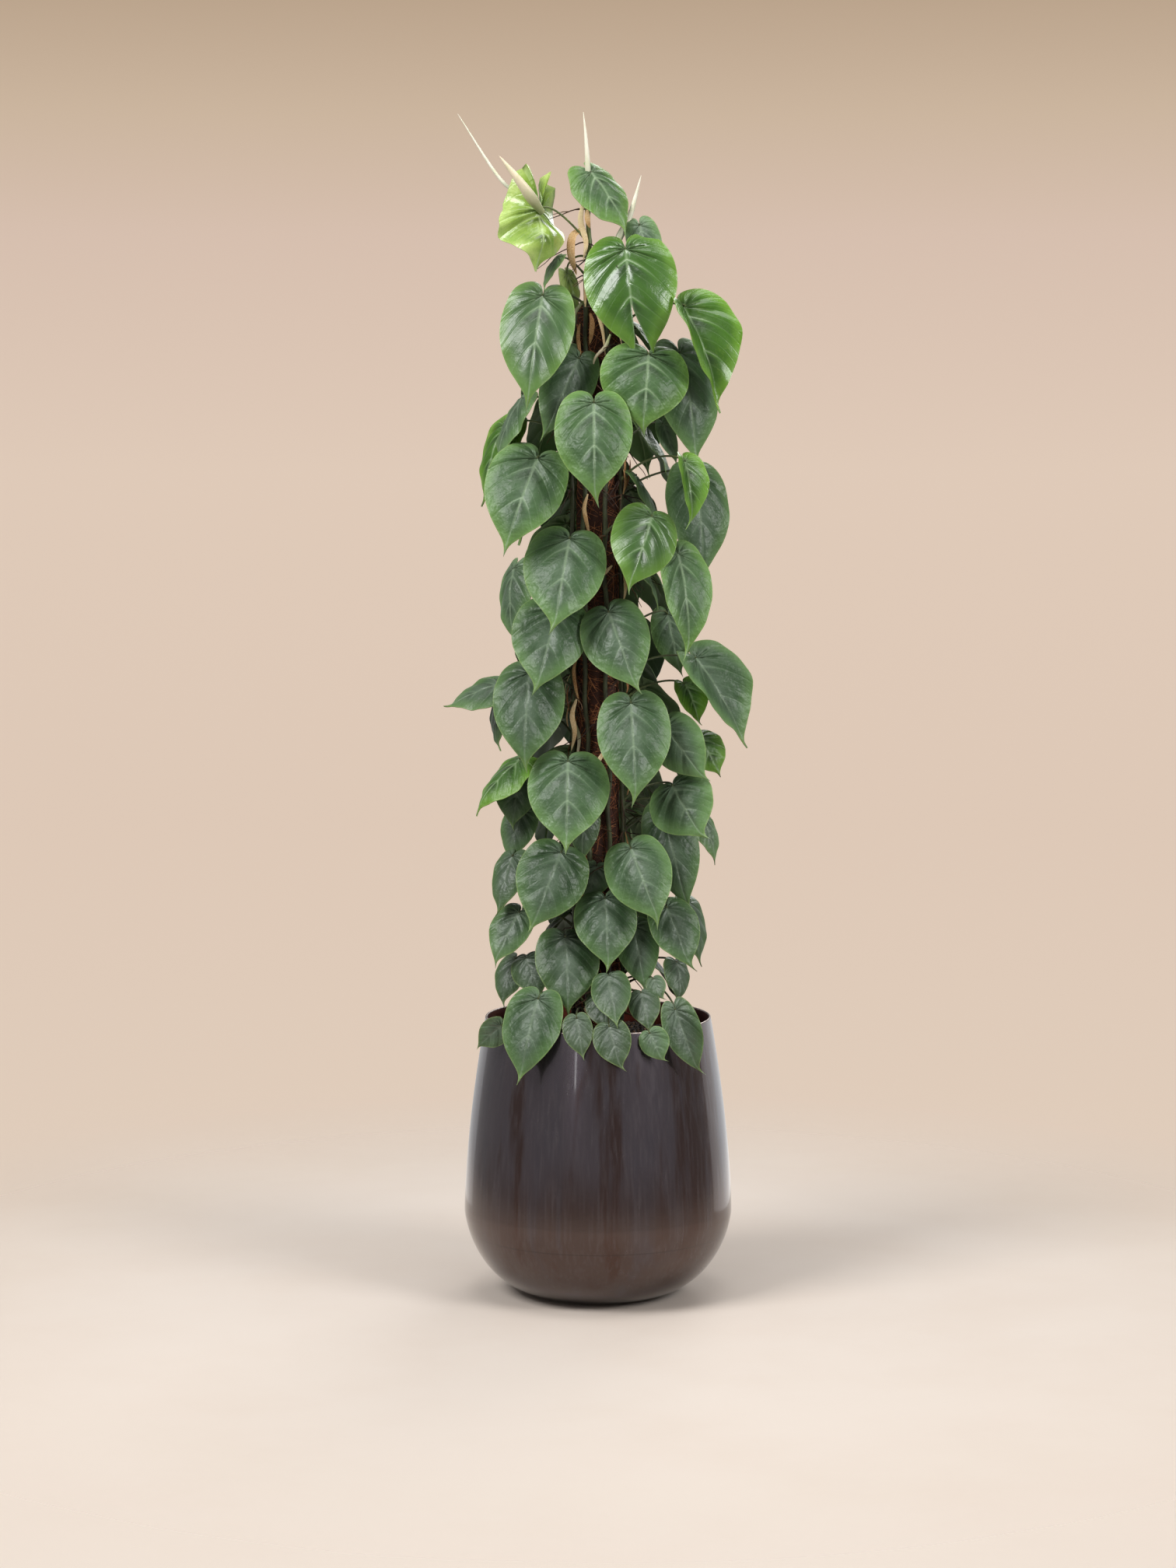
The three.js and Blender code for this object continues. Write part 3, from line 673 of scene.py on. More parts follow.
def add_sheaths(skin, vine, stem, rng):
    """Dry papery sheaths that stay at some of the joints, as narrow curled strips."""
    for leaf in vine["leaves"]:
        if rng.random() > SHEATH_SHARE:
            continue
        foot = stem(leaf.notch[2] - leaf.drop)
        outward = unit(foot * (1, 1, 0))
        side = np.cross((0, 0, 1), outward)
        length = rng.uniform(*SHEATH_LENGTHS)
        steps = np.linspace(0, 1, 9)
        lean = rng.uniform(-0.25, 0.25)
        path = foot + np.outer(steps * length, vector(0, 0, rng.choice((1, -0.8))) + lean * side)
        path += np.outer(3 + 5 * np.sin(2.4 * steps), outward)
        wide = rng.uniform(*SHEATH_HALF_WIDTHS) * np.sin(math.pi * (0.12 + 0.86 * steps)) ** 0.7
        places, faces = tube(path, wide, 0.35, sides=8, across=side)
        skin.add(places, faces, SHEATH, look=(rng.random(), 0, rng.random()))


def add_sprig(skin, sprig, rng):
    """A pale spear that holds the next leaf, or a dry curled sheath that held the last one."""
    steps = np.linspace(0, 1, SPRIG_STEPS)
    path = smooth_path([seen((x, z), ahead) for x, z, ahead in sprig.through], steps)
    along = np.repeat(np.concatenate(((0,), steps, (1,))), SPRIG_SIDES)
    if sprig.dry is not None:
        swell = np.sin(math.pi * (0.1 + 0.88 * steps)) ** 0.8
        places, faces = tube(path, sprig.half * swell, 0.5, sides=SPRIG_SIDES)
        skin.add(places, faces, SHEATH, look=(sprig.dry, 0, rng.random()))
    else:
        swell = np.minimum(0.55 + 1.6 * steps, 1) * np.minimum((1 - steps) / 0.62, 1) ** 0.8
        half = sprig.half * swell
        places, faces = tube(path, half + 0.2, 0.75 * half + 0.2, sides=SPRIG_SIDES)
        tone, seed = np.full(along.size, sprig.tone), np.full(along.size, rng.random())
        look = np.stack((tone, along, seed), axis=-1)
        skin.add(places, faces, SHOOT, look=look)


def vine_piece(vine, flat, finishes, seed):
    """A whole vine: its stem, its leaves on their stalks, its shoots, sheaths and roots."""
    rng = np.random.default_rng(seed)
    stem = stem_of(vine)
    skin = Skin()
    add_stem(skin, vine, stem, rng)
    for leaf in vine["leaves"]:
        add_petiole(skin, leaf, stem, rng)
        add_blade(skin, leaf, flat, rng)
    for sprig in SPRIGS.get(vine["name"], ()):
        add_sprig(skin, sprig, rng)
    add_roots(skin, vine, stem, rng)
    add_sheaths(skin, vine, stem, rng)
    return skin.piece("leafy_" + vine["name"], finishes)


# Pole.
def coir_lump(turn, z):
    """The coir sleeve's uneven radius."""
    lump = 0.9 * np.sin(3 * turn + z / 19) + 0.7 * np.sin(5 * turn - z / 31 + 1)
    return POLE_RADIUS + lump - 0.6


def coir_piece(finishes):
    """A rough sleeve with the stake's bore, wrapped in loose fibres that lie every way."""
    rng = np.random.default_rng(5)
    bottom = SOIL_TOP - POLE_BURIED + 1
    skin = Skin()
    heights = np.linspace(bottom, POLE_TOP, COIR_ROWS)
    turns = np.linspace(0, 2 * math.pi, COIR_SIDES, endpoint=False)
    z, turn = np.meshgrid(heights, turns, indexing="ij")
    radius = coir_lump(turn, z) + rng.normal(0, 0.22, z.shape)
    wall = np.stack((radius * np.cos(turn), radius * np.sin(turn), z), axis=-1)
    bore_radius = STAKE_RADIUS + FIT_GAP
    bore = np.stack((bore_radius * np.cos(turn), bore_radius * np.sin(turn), z), axis=-1)
    rows = np.concatenate((wall, bore[::-1], wall[:1]))
    skin.add(rows.reshape(-1, 3), grid_faces(len(rows), len(turns), closed=True))
    for _ in range(COIR_FIBRES):
        start, slope = rng.uniform(0, 2 * math.pi), rng.normal(0, 1)
        height = rng.uniform(SOIL_TOP, POLE_TOP - 2)
        length = rng.uniform(*FIBRE_LENGTHS)
        steps = np.linspace(-0.5, 0.5, 5)
        turn = start + length / POLE_RADIUS * math.cos(slope) * steps
        z = np.clip(height + length * math.sin(slope) * steps, bottom, POLE_TOP - 0.5)
        loose = rng.uniform(0.1, 0.8) + (rng.random() < 0.12) * rng.uniform(0, 3) * 4 * steps**2
        radius = coir_lump(turn, z) + loose
        path = np.stack((radius * np.cos(turn), radius * np.sin(turn), z), axis=-1)
        places, faces = tube(path, rng.uniform(0.18, 0.42), sides=3, across=(0, 0, 1))
        skin.add(places, faces, 1, look=(rng.random(), 0, rng.random()))
    return skin.piece("coir_wrap", finishes)


def stake_piece(finishes):
    """The pole's stake, with a chamfered top."""
    high = POLE_TOP + STAKE_PROUD
    profile = ((0, STAKE_FOOT), (STAKE_RADIUS, STAKE_FOOT), (STAKE_RADIUS, high - STAKE_CHAMFER),
               (STAKE_RADIUS - STAKE_CHAMFER, high), (0, high))
    skin = Skin()
    skin.add(*turned(profile, 40))
    return skin.piece("stake", finishes, crease=35)


# Soil.
def soil_height(x, y):
    """The soil's low mound, with gentle hollows."""
    out = np.hypot(x, y) / RIM_RADIUS
    ripple = 1.6 * np.sin(x / 17 + 1) * np.sin(y / 21) + 0.9 * np.sin(x / 7 + y / 9)
    return SOIL_TOP + SOIL_MOUND * np.clip(1 - out**2, 0, 1) + ripple * np.clip(1.05 - out, 0, 1)


def soil_piece(finishes):
    """The soil's body with a crumbly top: lumps of earth and bark lie all over it."""
    rng = np.random.default_rng(8)
    inset = WALL + FIT_GAP
    side = planter_side(inset, PLANTER_HEIGHT, 12, WALL_ROWS)
    edge = np.interp(SOIL_TOP, *side.T[::-1])
    side = side[side[:, 1] < SOIL_TOP - 0.5]
    radii = np.linspace(edge, 0, SOIL_ROWS)
    profile = np.vstack(((0, inset), side, np.stack((radii, np.full(SOIL_ROWS, SOIL_TOP)), axis=-1)))
    places, faces = turned(profile, SOIL_SIDES)
    top = slice(SOIL_SIDES * (len(side) + 1), None)
    places[top, 2] = soil_height(places[top, 0], places[top, 1])
    places[top, 2] += rng.normal(0, 0.5, len(places[top])) * (np.hypot(*places[top, :2].T) > 1)
    skin = Skin()
    skin.add(places, faces)
    cube = np.array([(x, y, z) for z in (-1, 1) for y in (-1, 1) for x in (-1, 1)], dtype=float)
    cube_faces = np.array(((0, 2, 3, 1), (4, 5, 7, 6), (0, 1, 5, 4),
                           (2, 6, 7, 3), (0, 4, 6, 2), (1, 3, 7, 5)))
    for _ in range(SOIL_CRUMBS):
        out = math.sqrt(rng.uniform(0.045, 1)) * (edge - 3)
        turn = rng.uniform(0, 2 * math.pi)
        x, y = out * math.cos(turn), out * math.sin(turn)
        size = rng.uniform(0.6, 2.6) * rng.uniform(0.5, 1, 3)
        spin = np.linalg.qr(rng.normal(0, 1, (3, 3)))[0]
        spin *= np.linalg.det(spin)
        lump = (cube * rng.uniform(0.6, 1.1, (8, 3)) * size) @ spin.T
        lump += (x, y, soil_height(x, y) + 0.3 * size.min())
        skin.add(lump, cube_faces, look=(rng.random() ** 2, 0, rng.random()))
    return skin.piece("soil_and_crumbs", finishes, crease=180)


# Planter.
def planter_side(inset, top, bowl_rows, wall_rows):
    """The planter's half outline from foot to top, drawn in by an inset: a bowl, then the wall."""
    turn = np.linspace(-math.pi / 2, -BELLY_KNEE, bowl_rows)
    rise = (1 + np.sin(turn)) / (1 - math.sin(BELLY_KNEE))
    spread = np.cos(turn) / math.cos(BELLY_KNEE)
    bowl = np.stack((FOOT_RADIUS + (BELLY_RADIUS - FOOT_RADIUS - inset) * spread,
                     inset + (BELLY_HEIGHT - inset) * rise), axis=-1)
    z = np.linspace(BELLY_HEIGHT, top, wall_rows + 1)[1:]
    share = (z - BELLY_HEIGHT) / (PLANTER_HEIGHT - BELLY_HEIGHT)
    radius = BELLY_RADIUS + (RIM_RADIUS - BELLY_RADIUS) * share**WALL_CURVE - inset
    wall = np.stack((radius, z), axis=-1)
    return np.vstack((bowl, wall))


def planter_piece(finishes):
    """A spun metal shell with a softly rounded rim."""
    outside = planter_side(0, PLANTER_HEIGHT - WALL / 2, BOWL_ROWS, WALL_ROWS)
    inside = planter_side(WALL, PLANTER_HEIGHT - WALL / 2, BOWL_ROWS, WALL_ROWS)[::-1]
    turn = np.linspace(0, math.pi, 9)[1:-1]
    middle = (outside[-1] + inside[0]) / 2
    lip = middle + WALL / 2 * np.stack((np.cos(turn), np.sin(turn)), axis=-1)
    skin = Skin()
    rows = np.vstack(((0, 0), outside, lip, inside, (0, WALL)))
    places, faces = turned(rows, PLANTER_SIDES)
    row = np.arange(len(faces)) // PLANTER_SIDES
    lip_starts, lip_ends = len(outside), len(outside) + len(lip) + 1
    in_lip = (row >= lip_starts) & (row < lip_ends)
    for finish, chosen in enumerate((row < lip_starts, in_lip, row >= lip_ends)):
        skin.add(places, faces[chosen], finish)
    return skin.piece("planter_shell", finishes, crease=60)


# Finishes.
def ink(code):
    """A colour as a screen shows it, such as "4a6f45", in the values that shaders take."""
    parts = [int(code[i:i + 2], 16) / 255 for i in (0, 2, 4)]
    return tuple(p / 12.92 if p <= 0.04045 else ((p + 0.055) / 1.055) ** 2.4 for p in parts) + (1.0,)


class Wiring:
    """Short words for the nodes of one material or node group."""

    def __init__(self, tree):
        self.tree = tree

    def node(self, kind, **settings):
        made = self.tree.nodes.new(kind)
        for name, value in settings.items():
            setattr(made, name, value)
        return made

    def join(self, source, socket):
        """Feeds a socket from another one, or sets it to a plain value."""
        if isinstance(source, bpy.types.NodeSocket):
            self.tree.links.new(source, socket)
        else:
            socket.default_value = source

    def math(self, operation, *values):
        made = self.node("ShaderNodeMath", operation=operation)
        for value, socket in zip(values, made.inputs):
            self.join(value, socket)
        return made.outputs[0]

    def plus(self, first, second):
        return self.math("ADD", first, second)

    def minus(self, first, second):
        return self.math("SUBTRACT", first, second)

    def times(self, first, second):
        return self.math("MULTIPLY", first, second)

    def mix(self, share, first, second):
        """The first colour, with a share of the second in it."""
        made = self.node("ShaderNodeMix", data_type="RGBA")
        for value, place in ((share, 0), (first, 6), (second, 7)):
            self.join(value, made.inputs[place])
        return made.outputs[2]

    def ease(self, value, low, high, to_low=0.0, to_high=1.0):
        """The value carried smoothly from the range low to high to the range to_low to to_high."""
        made = self.node("ShaderNodeMapRange", interpolation_type="SMOOTHSTEP")
        for given, socket in zip((value, low, high, to_low, to_high), made.inputs):
            self.join(given, socket)
        return made.outputs[0]

    def ramp(self, value, stops):
        """The colour that lies at a value among stops of (place, colour)."""
        made = self.node("ShaderNodeValToRGB")
        elements = made.color_ramp.elements
        while len(elements) < len(stops):
            elements.new(0.5)
        for element, (place, code) in zip(elements, stops):
            element.position = place
            element.color = ink(code)
        self.join(value, made.inputs[0])
        return made.outputs[0]

    def place(self, stretch=(1, 1, 1)):
        """Where a point of the surface is in the frame, in metres, stretched."""
        coordinates = self.node("ShaderNodeTexCoord")
        mapping = self.node("ShaderNodeMapping")
        self.join(coordinates.outputs["Object"], mapping.inputs["Vector"])
        mapping.inputs["Scale"].default_value = stretch
        return mapping.outputs[0]

    def noise(self, place, scale, detail=4.0, roughness=0.55):
        made = self.node("ShaderNodeTexNoise")
        self.join(place, made.inputs["Vector"])
        for name, value in (("Scale", scale), ("Detail", detail), ("Roughness", roughness)):
            self.join(value, made.inputs[name])
        return made.outputs["Fac"]

    def mark(self, name):
        """The three numbers of a mark on the surface."""
        made = self.node("ShaderNodeAttribute", attribute_name=name)
        parts = self.node("ShaderNodeSeparateXYZ")
        self.join(made.outputs["Vector"], parts.inputs[0])
        return parts.outputs

    def bump(self, height, strength, distance, normal=None):
        made = self.node("ShaderNodeBump")
        self.join(height, made.inputs["Height"])
        made.inputs["Strength"].default_value = strength
        made.inputs["Distance"].default_value = distance
        if normal is not None:
            self.join(normal, made.inputs["Normal"])
        return made.outputs[0]

    def group(self, made_group, **values):
        """A use of a node group: its inputs by name, with _ for a space, and all its outputs."""
        made = self.node("ShaderNodeGroup", node_tree=made_group)
        for name, value in values.items():
            self.join(value, made.inputs[name.replace("_", " ").capitalize()])
        return made.outputs


def new_group(name, inputs, outputs):
    """An empty node group with named inputs, given with their values, and named outputs."""
    tree = bpy.data.node_groups.new(name, "ShaderNodeTree")
    for label, value in inputs.items():
        socket = tree.interface.new_socket(label, in_out="INPUT", socket_type="NodeSocketFloat")
        socket.default_value = value
    for label in outputs:
        tree.interface.new_socket(label, in_out="OUTPUT", socket_type="NodeSocketFloat")
    wiring = Wiring(tree)
    return wiring, wiring.node("NodeGroupInput").outputs, wiring.node("NodeGroupOutput").inputs


def veins_group():
    """Masks of the rib, the side veins, the painted shade in the hollows past them and the fine veins, from
    the marks.
    """
    inputs = {"Count": 0.0, "Gap": 5.0, "From rib": 10.0, "Along": 0.5,
              "Rib width": 1.5, "Vein width": 1.0}
    outputs = ("Rib", "Side veins", "Fine veins", "Hollow shade")
    w, given, result = new_group("Leaf veins", inputs, outputs)
    taper = w.minus(1.15, w.times(given["Along"], 0.75))
    w.join(w.ease(given["From rib"], 0.3, w.times(given["Rib width"], taper), 1, 0), result["Rib"])
    off = w.times(w.math("PINGPONG", given["Count"], 0.5), given["Gap"])
    w.join(w.ease(off, 0.15, given["Vein width"], 1, 0), result["Side veins"])
    fine = w.times(w.math("PINGPONG", w.times(given["Count"], 3), 0.5), given["Gap"])
    w.join(w.ease(w.math("DIVIDE", fine, 3), 0.05, w.times(given["Vein width"], 0.55), 1, 0),
           result["Fine veins"])
    past = w.math("FRACT", given["Count"])
    w.join(w.times(w.ease(past, 0.04, 0.16), w.ease(past, 0.2, 0.6, 1, 0)), result["Hollow shade"])
    return w.tree


def mottle_group():
    """Soft blotches with fine specks in them, as a mask and as a height."""
    inputs = {"Scale": 40.0, "Seed": 0.0, "Specks": 0.3}
    w, given, result = new_group("Mottle", inputs, ("Mask", "Height"))
    place = w.node("ShaderNodeVectorMath", operation="ADD")
    w.join(w.place(), place.inputs[0])
    w.join(w.times(given["Seed"], 9.0), place.inputs[1])
    broad = w.noise(place.outputs[0], given["Scale"], 3)
    fine = w.noise(place.outputs[0], w.times(given["Scale"], 14), 2)
    specks = w.times(w.minus(fine, 0.5), given["Specks"])
    w.join(w.plus(broad, specks), result["Mask"])
    w.join(w.plus(w.times(broad, 0.5), w.times(fine, 0.5)), result["Height"])
    return w.tree


def new_finish(name, metallic=0.0, roughness=0.5, **sockets):
    """A material with a plain Principled shader: its wiring and that shader's inputs."""
    material = bpy.data.materials.new(name)
    material.use_nodes = True
    w = Wiring(material.node_tree)
    shader = w.tree.nodes["Principled BSDF"].inputs
    shader["Metallic"].default_value = metallic
    shader["Roughness"].default_value = roughness
    for label, value in sockets.items():
        shader[label.replace("_", " ")].default_value = value
    return material, w, shader


# A leaf's colours in the middle and along its edge, by its tone: 0 is old and shaded, 1 is new.
CENTRE_TONES = ((0.0, "263620"), (0.2, "2f462a"), (0.4, "40593a"),
                (0.6, "3d5c2d"), (0.85, "3c6416"), (1.0, "8ba644"))
MARGIN_TONES = ((0.0, "364a2a"), (0.2, "49653a"), (0.4, "5f7f4b"),
                (0.6, "5c8036"), (0.85, "618c26"), (1.0, "b6ca74"))


def leaf_upper(veins, mottle, name, gloss, pucker_depth):
    """The waxy upper face: greyish in the middle, partly a painted sheen, greener and yellower to the edge
    and the tip, with soft silvery bands along the rib and the side veins, and painted shade in the hollows
    past the side veins."""
    material, w, shader = new_finish(name, Specular_IOR_Level=gloss)
    count, gap, from_rib = w.mark("veins")
    from_edge, along, outward = w.mark("spot")
    tone, shine, seed = w.mark("look")
    blotch = w.group(mottle, scale=38.0, seed=seed, specks=0.3)
    lines = w.group(veins, count=count, gap=gap, from_rib=from_rib, along=along,
                    rib_width=2.8, vein_width=2.3)
    uneven = w.minus(blotch["Mask"], 0.5)
    shifted = w.plus(tone, w.times(uneven, 0.3))
    margin = w.ramp(shifted, MARGIN_TONES)
    inward = w.plus(from_edge, w.times(uneven, 14))
    inward = w.minus(inward, w.ease(along, 0.72, 1, 0, 14))
    colour = w.mix(w.ease(inward, 0.5, 20), margin, w.ramp(shifted, CENTRE_TONES))
    colour = w.mix(w.ease(from_edge, 0.2, 2.0, 0.35, 0), colour, w.mix(0.5, margin, ink("b3c878")))
    colour = w.mix(w.ease(along, 0.82, 1, 0, 0.45), colour, ink("94b153"))
    silver = w.mix(0.4, margin, ink("a3ada0"))
    # Greyish towards the rib: partly the leaf's own colour, partly a painted sheen.
    inner = w.times(w.ease(from_rib, 1, 20, 1, 0), w.ease(tone, 0.3, 0.7, 0.27, 0.02))
    colour = w.mix(w.times(inner, w.ease(along, 0.4, 0.95, 1, 0)), colour, ink("818e81"))
    plain_tip = w.times(w.ease(along, 0.5, 0.78, 1, 0), w.ease(tone, 0.25, 0.6, 0.7, 1.25))
    # Painted shade: dark wedges in the hollows just past each side vein, near the rib.
    shade = w.times(lines["Hollow shade"], w.ease(outward, 0.08, 0.75, 0.62, 0))
    colour = w.mix(w.times(shade, plain_tip), colour, ink("1d3016"))
    fading = w.ease(outward, 0.05, 0.75, w.ease(tone, 0.15, 0.5, 0.15, 0.52), 0.0)
    fading = w.times(fading, plain_tip)
    colour = w.mix(w.times(lines["Side veins"], fading), colour, silver)
    colour = w.mix(w.times(lines["Fine veins"], 0.11), colour, silver)
    colour = w.mix(w.times(lines["Rib"], w.ease(tone, 0.15, 0.5, 0.32, 0.62)), colour, silver)
    place = w.place()
    specks = w.ease(w.noise(place, 800.0, 1), 0.7, 0.78, 0, 0.3)
    colour = w.mix(w.times(specks, w.ease(tone, 0.4, 0.6, 1, 0)), colour, ink("b4beaa"))
    w.join(colour, shader["Base Color"])
    rough = w.minus(0.52, w.times(shine, 0.29))
    w.join(w.plus(rough, w.times(uneven, 0.2)), shader["Roughness"])
    pucker = w.bump(w.noise(place, 105.0, 2), 0.55, pucker_depth)
    sunken = w.plus(lines["Side veins"], w.times(lines["Fine veins"], 0.5))
    sunken = w.times(sunken, plain_tip)
    height = w.minus(w.times(blotch["Height"], 0.6), w.times(sunken, 0.7))
    w.join(w.bump(height, 0.5, 0.0005, pucker), shader["Normal"])
    return material


def leaf_lower(veins, mottle):
    """The paler, matt lower face, whose veins stand up."""
    material, w, shader = new_finish("leaf lower face", roughness=0.6)
    count, gap, from_rib = w.mark("veins")
    _, along, _ = w.mark("spot")
    tone, _, seed = w.mark("look")
    blotch = w.group(mottle, scale=45.0, seed=seed, specks=0.2)
    lines = w.group(veins, count=count, gap=gap, from_rib=from_rib, along=along,
                    rib_width=2.4, vein_width=1.2)
    shifted = w.plus(tone, w.times(w.minus(blotch["Mask"], 0.5), 0.3))
    colour = w.mix(0.3, w.ramp(shifted, MARGIN_TONES), ink("8a9c7c"))
    either = w.math("MAXIMUM", lines["Rib"], w.times(lines["Side veins"], 0.6))
    w.join(w.mix(w.times(either, 0.5), colour, ink("a9b98c")), shader["Base Color"])
    height = w.plus(either, w.times(blotch["Height"], 0.3))
    w.join(w.bump(height, 0.6, 0.0005), shader["Normal"])
    return material


def stalk_finish(mottle):
    """Stems and leaf stalks: olive green to brown, faintly streaked."""
    material, w, shader = new_finish("stalk", roughness=0.45)
    tone, _, seed = w.mark("look")
    blotch = w.group(mottle, scale=60.0, seed=seed, specks=0.4)
    shifted = w.plus(tone, w.minus(blotch["Mask"], 0.5))
    w.join(w.ramp(shifted, ((0.0, "2c2a1b"), (0.45, "4d5634"), (1.0, "7c8c4e"))), shader["Base Color"])
    w.join(w.bump(blotch["Height"], 0.4, 0.0004), shader["Normal"])
    return material


def shoot_finish(mottle):
    """Cream shoots, green at the root and faintly pink on the rolled leaf."""
    material, w, shader = new_finish("shoot", roughness=0.42)
    tone, along, seed = w.mark("look")
    blotch = w.group(mottle, scale=80.0, seed=seed, specks=0.3)
    pale = w.mix(tone, ink("e6e3d0"), ink("d8bf98"))
    colour = w.mix(w.ease(along, 0.05, 0.6, 0.8, 0.0), pale, ink("8d9c66"))
    colour = w.mix(w.ease(blotch["Mask"], 0.45, 0.75, 0.0, 0.4), colour, ink("b9c285"))
    w.join(colour, shader["Base Color"])
    return material


def dry_finish(name, stops):
    """Dead plant matter: roots, sheaths, coir and fibres, each strand of its own shade."""
    material, w, shader = new_finish(name, roughness=0.85)
    tone, _, _ = w.mark("look")
    place = w.place()
    broad = w.minus(w.noise(place, 55.0, 4), 0.5)
    fine = w.noise(place, 900.0, 3)
    shade = w.plus(w.plus(tone, w.times(broad, 0.9)), w.minus(fine, 0.5))
    w.join(w.ramp(shade, stops), shader["Base Color"])
    w.join(w.bump(fine, 0.7, 0.0008), shader["Normal"])
    return material


def soil_finish():
    """Dark damp earth with brown crumbs and bits of bark."""
    material, w, shader = new_finish("potting soil", roughness=0.95)
    tone, _, _ = w.mark("look")
    place = w.place()
    broad = w.noise(place, 60.0, 5)
    fine = w.noise(place, 420.0, 4)
    broad = w.times(w.minus(broad, 0.3), 0.6)
    shade = w.plus(w.times(tone, 0.8), broad)
    stops = ((0.0, "140e0a"), (0.45, "2b1e15"), (0.8, "4a3424"), (1.0, "7a5a3c"))
    w.join(w.ramp(shade, stops), shader["Base Color"])
    w.join(w.bump(fine, 0.9, 0.002), shader["Normal"])
    return material


def stake_finish():
    """Weathered wood, grained along the stake."""
    material, w, shader = new_finish("stake wood", roughness=0.75)
    grain = w.noise(w.place((1, 1, 0.06)), 420.0, 5, 0.65)
    w.join(w.ramp(grain, ((0.3, "5d432b"), (0.55, "8b6b47"), (0.75, "a98a62"))), shader["Base Color"])
    w.join(w.bump(grain, 0.4, 0.0005), shader["Normal"])
    return material


def brushed_group():
    """Fine upright brush marks and broad upright streaks round the planter, of tarnish and of painted
    reflection.
    """
    inputs = {"Fine scale": 260.0, "Broad scale": 26.0}
    w, given, result = new_group("Upright brushing", inputs, ("Fine", "Broad", "Clouds"))
    w.join(w.noise(w.place((1, 1, 0.02)), given["Fine scale"], 3), result["Fine"])
    w.join(w.noise(w.place((1, 1, 0.07)), given["Broad scale"], 4), result["Broad"])
    w.join(w.noise(w.place((1, 1, 0.6)), 11.0, 4), result["Clouds"])
    return w.tree


def planter_outside(brushed):
    """Lacquered dark metal: purple-grey above, partly a painted reflection, and brown below, with rusty
    upright streaks, bluish-grey streaks of painted reflection and a seam.
    """
    material, w, shader = new_finish("planter lacquered metal", metallic=0.9,
                                     Coat_Weight=0.8, Coat_Roughness=0.06)
    marks = w.group(brushed)
    parts = w.node("ShaderNodeSeparateXYZ")
    w.join(w.place(), parts.inputs[0])
    uneven = w.times(w.minus(marks["Clouds"], 0.5), 0.12)
    height = w.plus(parts.outputs["Z"], uneven)
    # Purple-grey above and brown below; the purple-grey is partly a painted reflection.
    colour = w.mix(w.ease(height, 0.1, 0.2), ink("4a3934"), ink("5d555c"))
    rust = w.plus(marks["Broad"], w.ease(parts.outputs["X"], 0.04, 0.11, -0.05, 0.08))
    colour = w.mix(w.ease(rust, 0.5, 0.62, 0.0, 0.75), colour, ink("422619"))
    # Bluish-grey upright streaks: painted reflection.
    colour = w.mix(w.ease(marks["Broad"], 0.48, 0.3, 0.0, 0.4), colour, ink("4c4c57"))
    fewer_low = w.ease(parts.outputs["Z"], 0.05, 0.2, 0.16, 0.4)
    fine = w.times(w.ease(marks["Fine"], 0.45, 0.7), fewer_low)
    colour = w.mix(fine, colour, ink("6b6468"))
    from_seam = w.math("ABSOLUTE", w.minus(parts.outputs["Z"], SEAM_HEIGHT * MM))
    colour = w.mix(w.ease(from_seam, 0.0, 0.0012, 0.5, 0.0), colour, ink("2b2220"))
    w.join(colour, shader["Base Color"])
    rough = w.plus(0.17, w.times(marks["Fine"], 0.1))
    w.join(w.plus(rough, w.times(marks["Clouds"], 0.06)), shader["Roughness"])
    w.join(w.bump(marks["Fine"], 0.06, 0.0002), shader["Normal"])
    return material


def planter_lip(brushed):
    """The rim's edge, pale: partly its own light colour, partly a painted highlight."""
    material, w, shader = new_finish("planter pale rim", metallic=0.9)
    marks = w.group(brushed)
    w.join(w.mix(w.ease(marks["Fine"], 0.35, 0.7), ink("9c918a"), ink("6e5f58")), shader["Base Color"])
    w.join(w.plus(0.3, w.times(marks["Fine"], 0.2)), shader["Roughness"])
    return material


def planter_inside(mottle):
    """Reddish brown primer with rust blooms."""
    material, w, shader = new_finish("planter inside", metallic=0.15, roughness=0.6)
    blotch = w.group(mottle, scale=30.0, seed=0.4, specks=0.4)
    stops = ((0.3, "4a1d14"), (0.5, "6b2a1e"), (0.75, "8a4630"))
    w.join(w.ramp(blotch["Mask"], stops), shader["Base Color"])
    w.join(w.bump(blotch["Height"], 0.3, 0.0006), shader["Normal"])
    return material


# Studio.
def floor_finish():
    """Pale beige, softly clouded, and fading into the air of the studio away from the plant."""
    material, w, shader = new_finish("pale floor", roughness=0.95)
    clouds = w.noise(w.place(), 3.2, 5, 0.6)
    colour = w.mix(w.ease(clouds, 0.35, 0.75, 0.0, 0.25), ink("cbc0b6"), ink("bfae9f"))
    w.join(colour, shader["Base Color"])
    from_middle = w.node("ShaderNodeVectorMath", operation="LENGTH")
    w.join(w.place((1, 0.9, 1)), from_middle.inputs[0])
    w.join(w.ease(from_middle.outputs["Value"], 0.4, 1.3, 1, 0), shader["Alpha"])
    return material


def studio_floor():
    """A round floor under the plant."""
    skin = Skin()
    turn = np.linspace(0, 2 * math.pi, 64, endpoint=False)
    x, y = np.outer(FLOOR_RADII, np.cos(turn)), np.outer(FLOOR_RADII, np.sin(turn))
    faces = grid_faces(len(FLOOR_RADII), len(turn), closed=True)
    skin.add(np.stack((x, y, 0 * x), axis=-1).reshape(-1, 3), faces)
    skin.piece("studio_floor", [floor_finish()], crease=180)


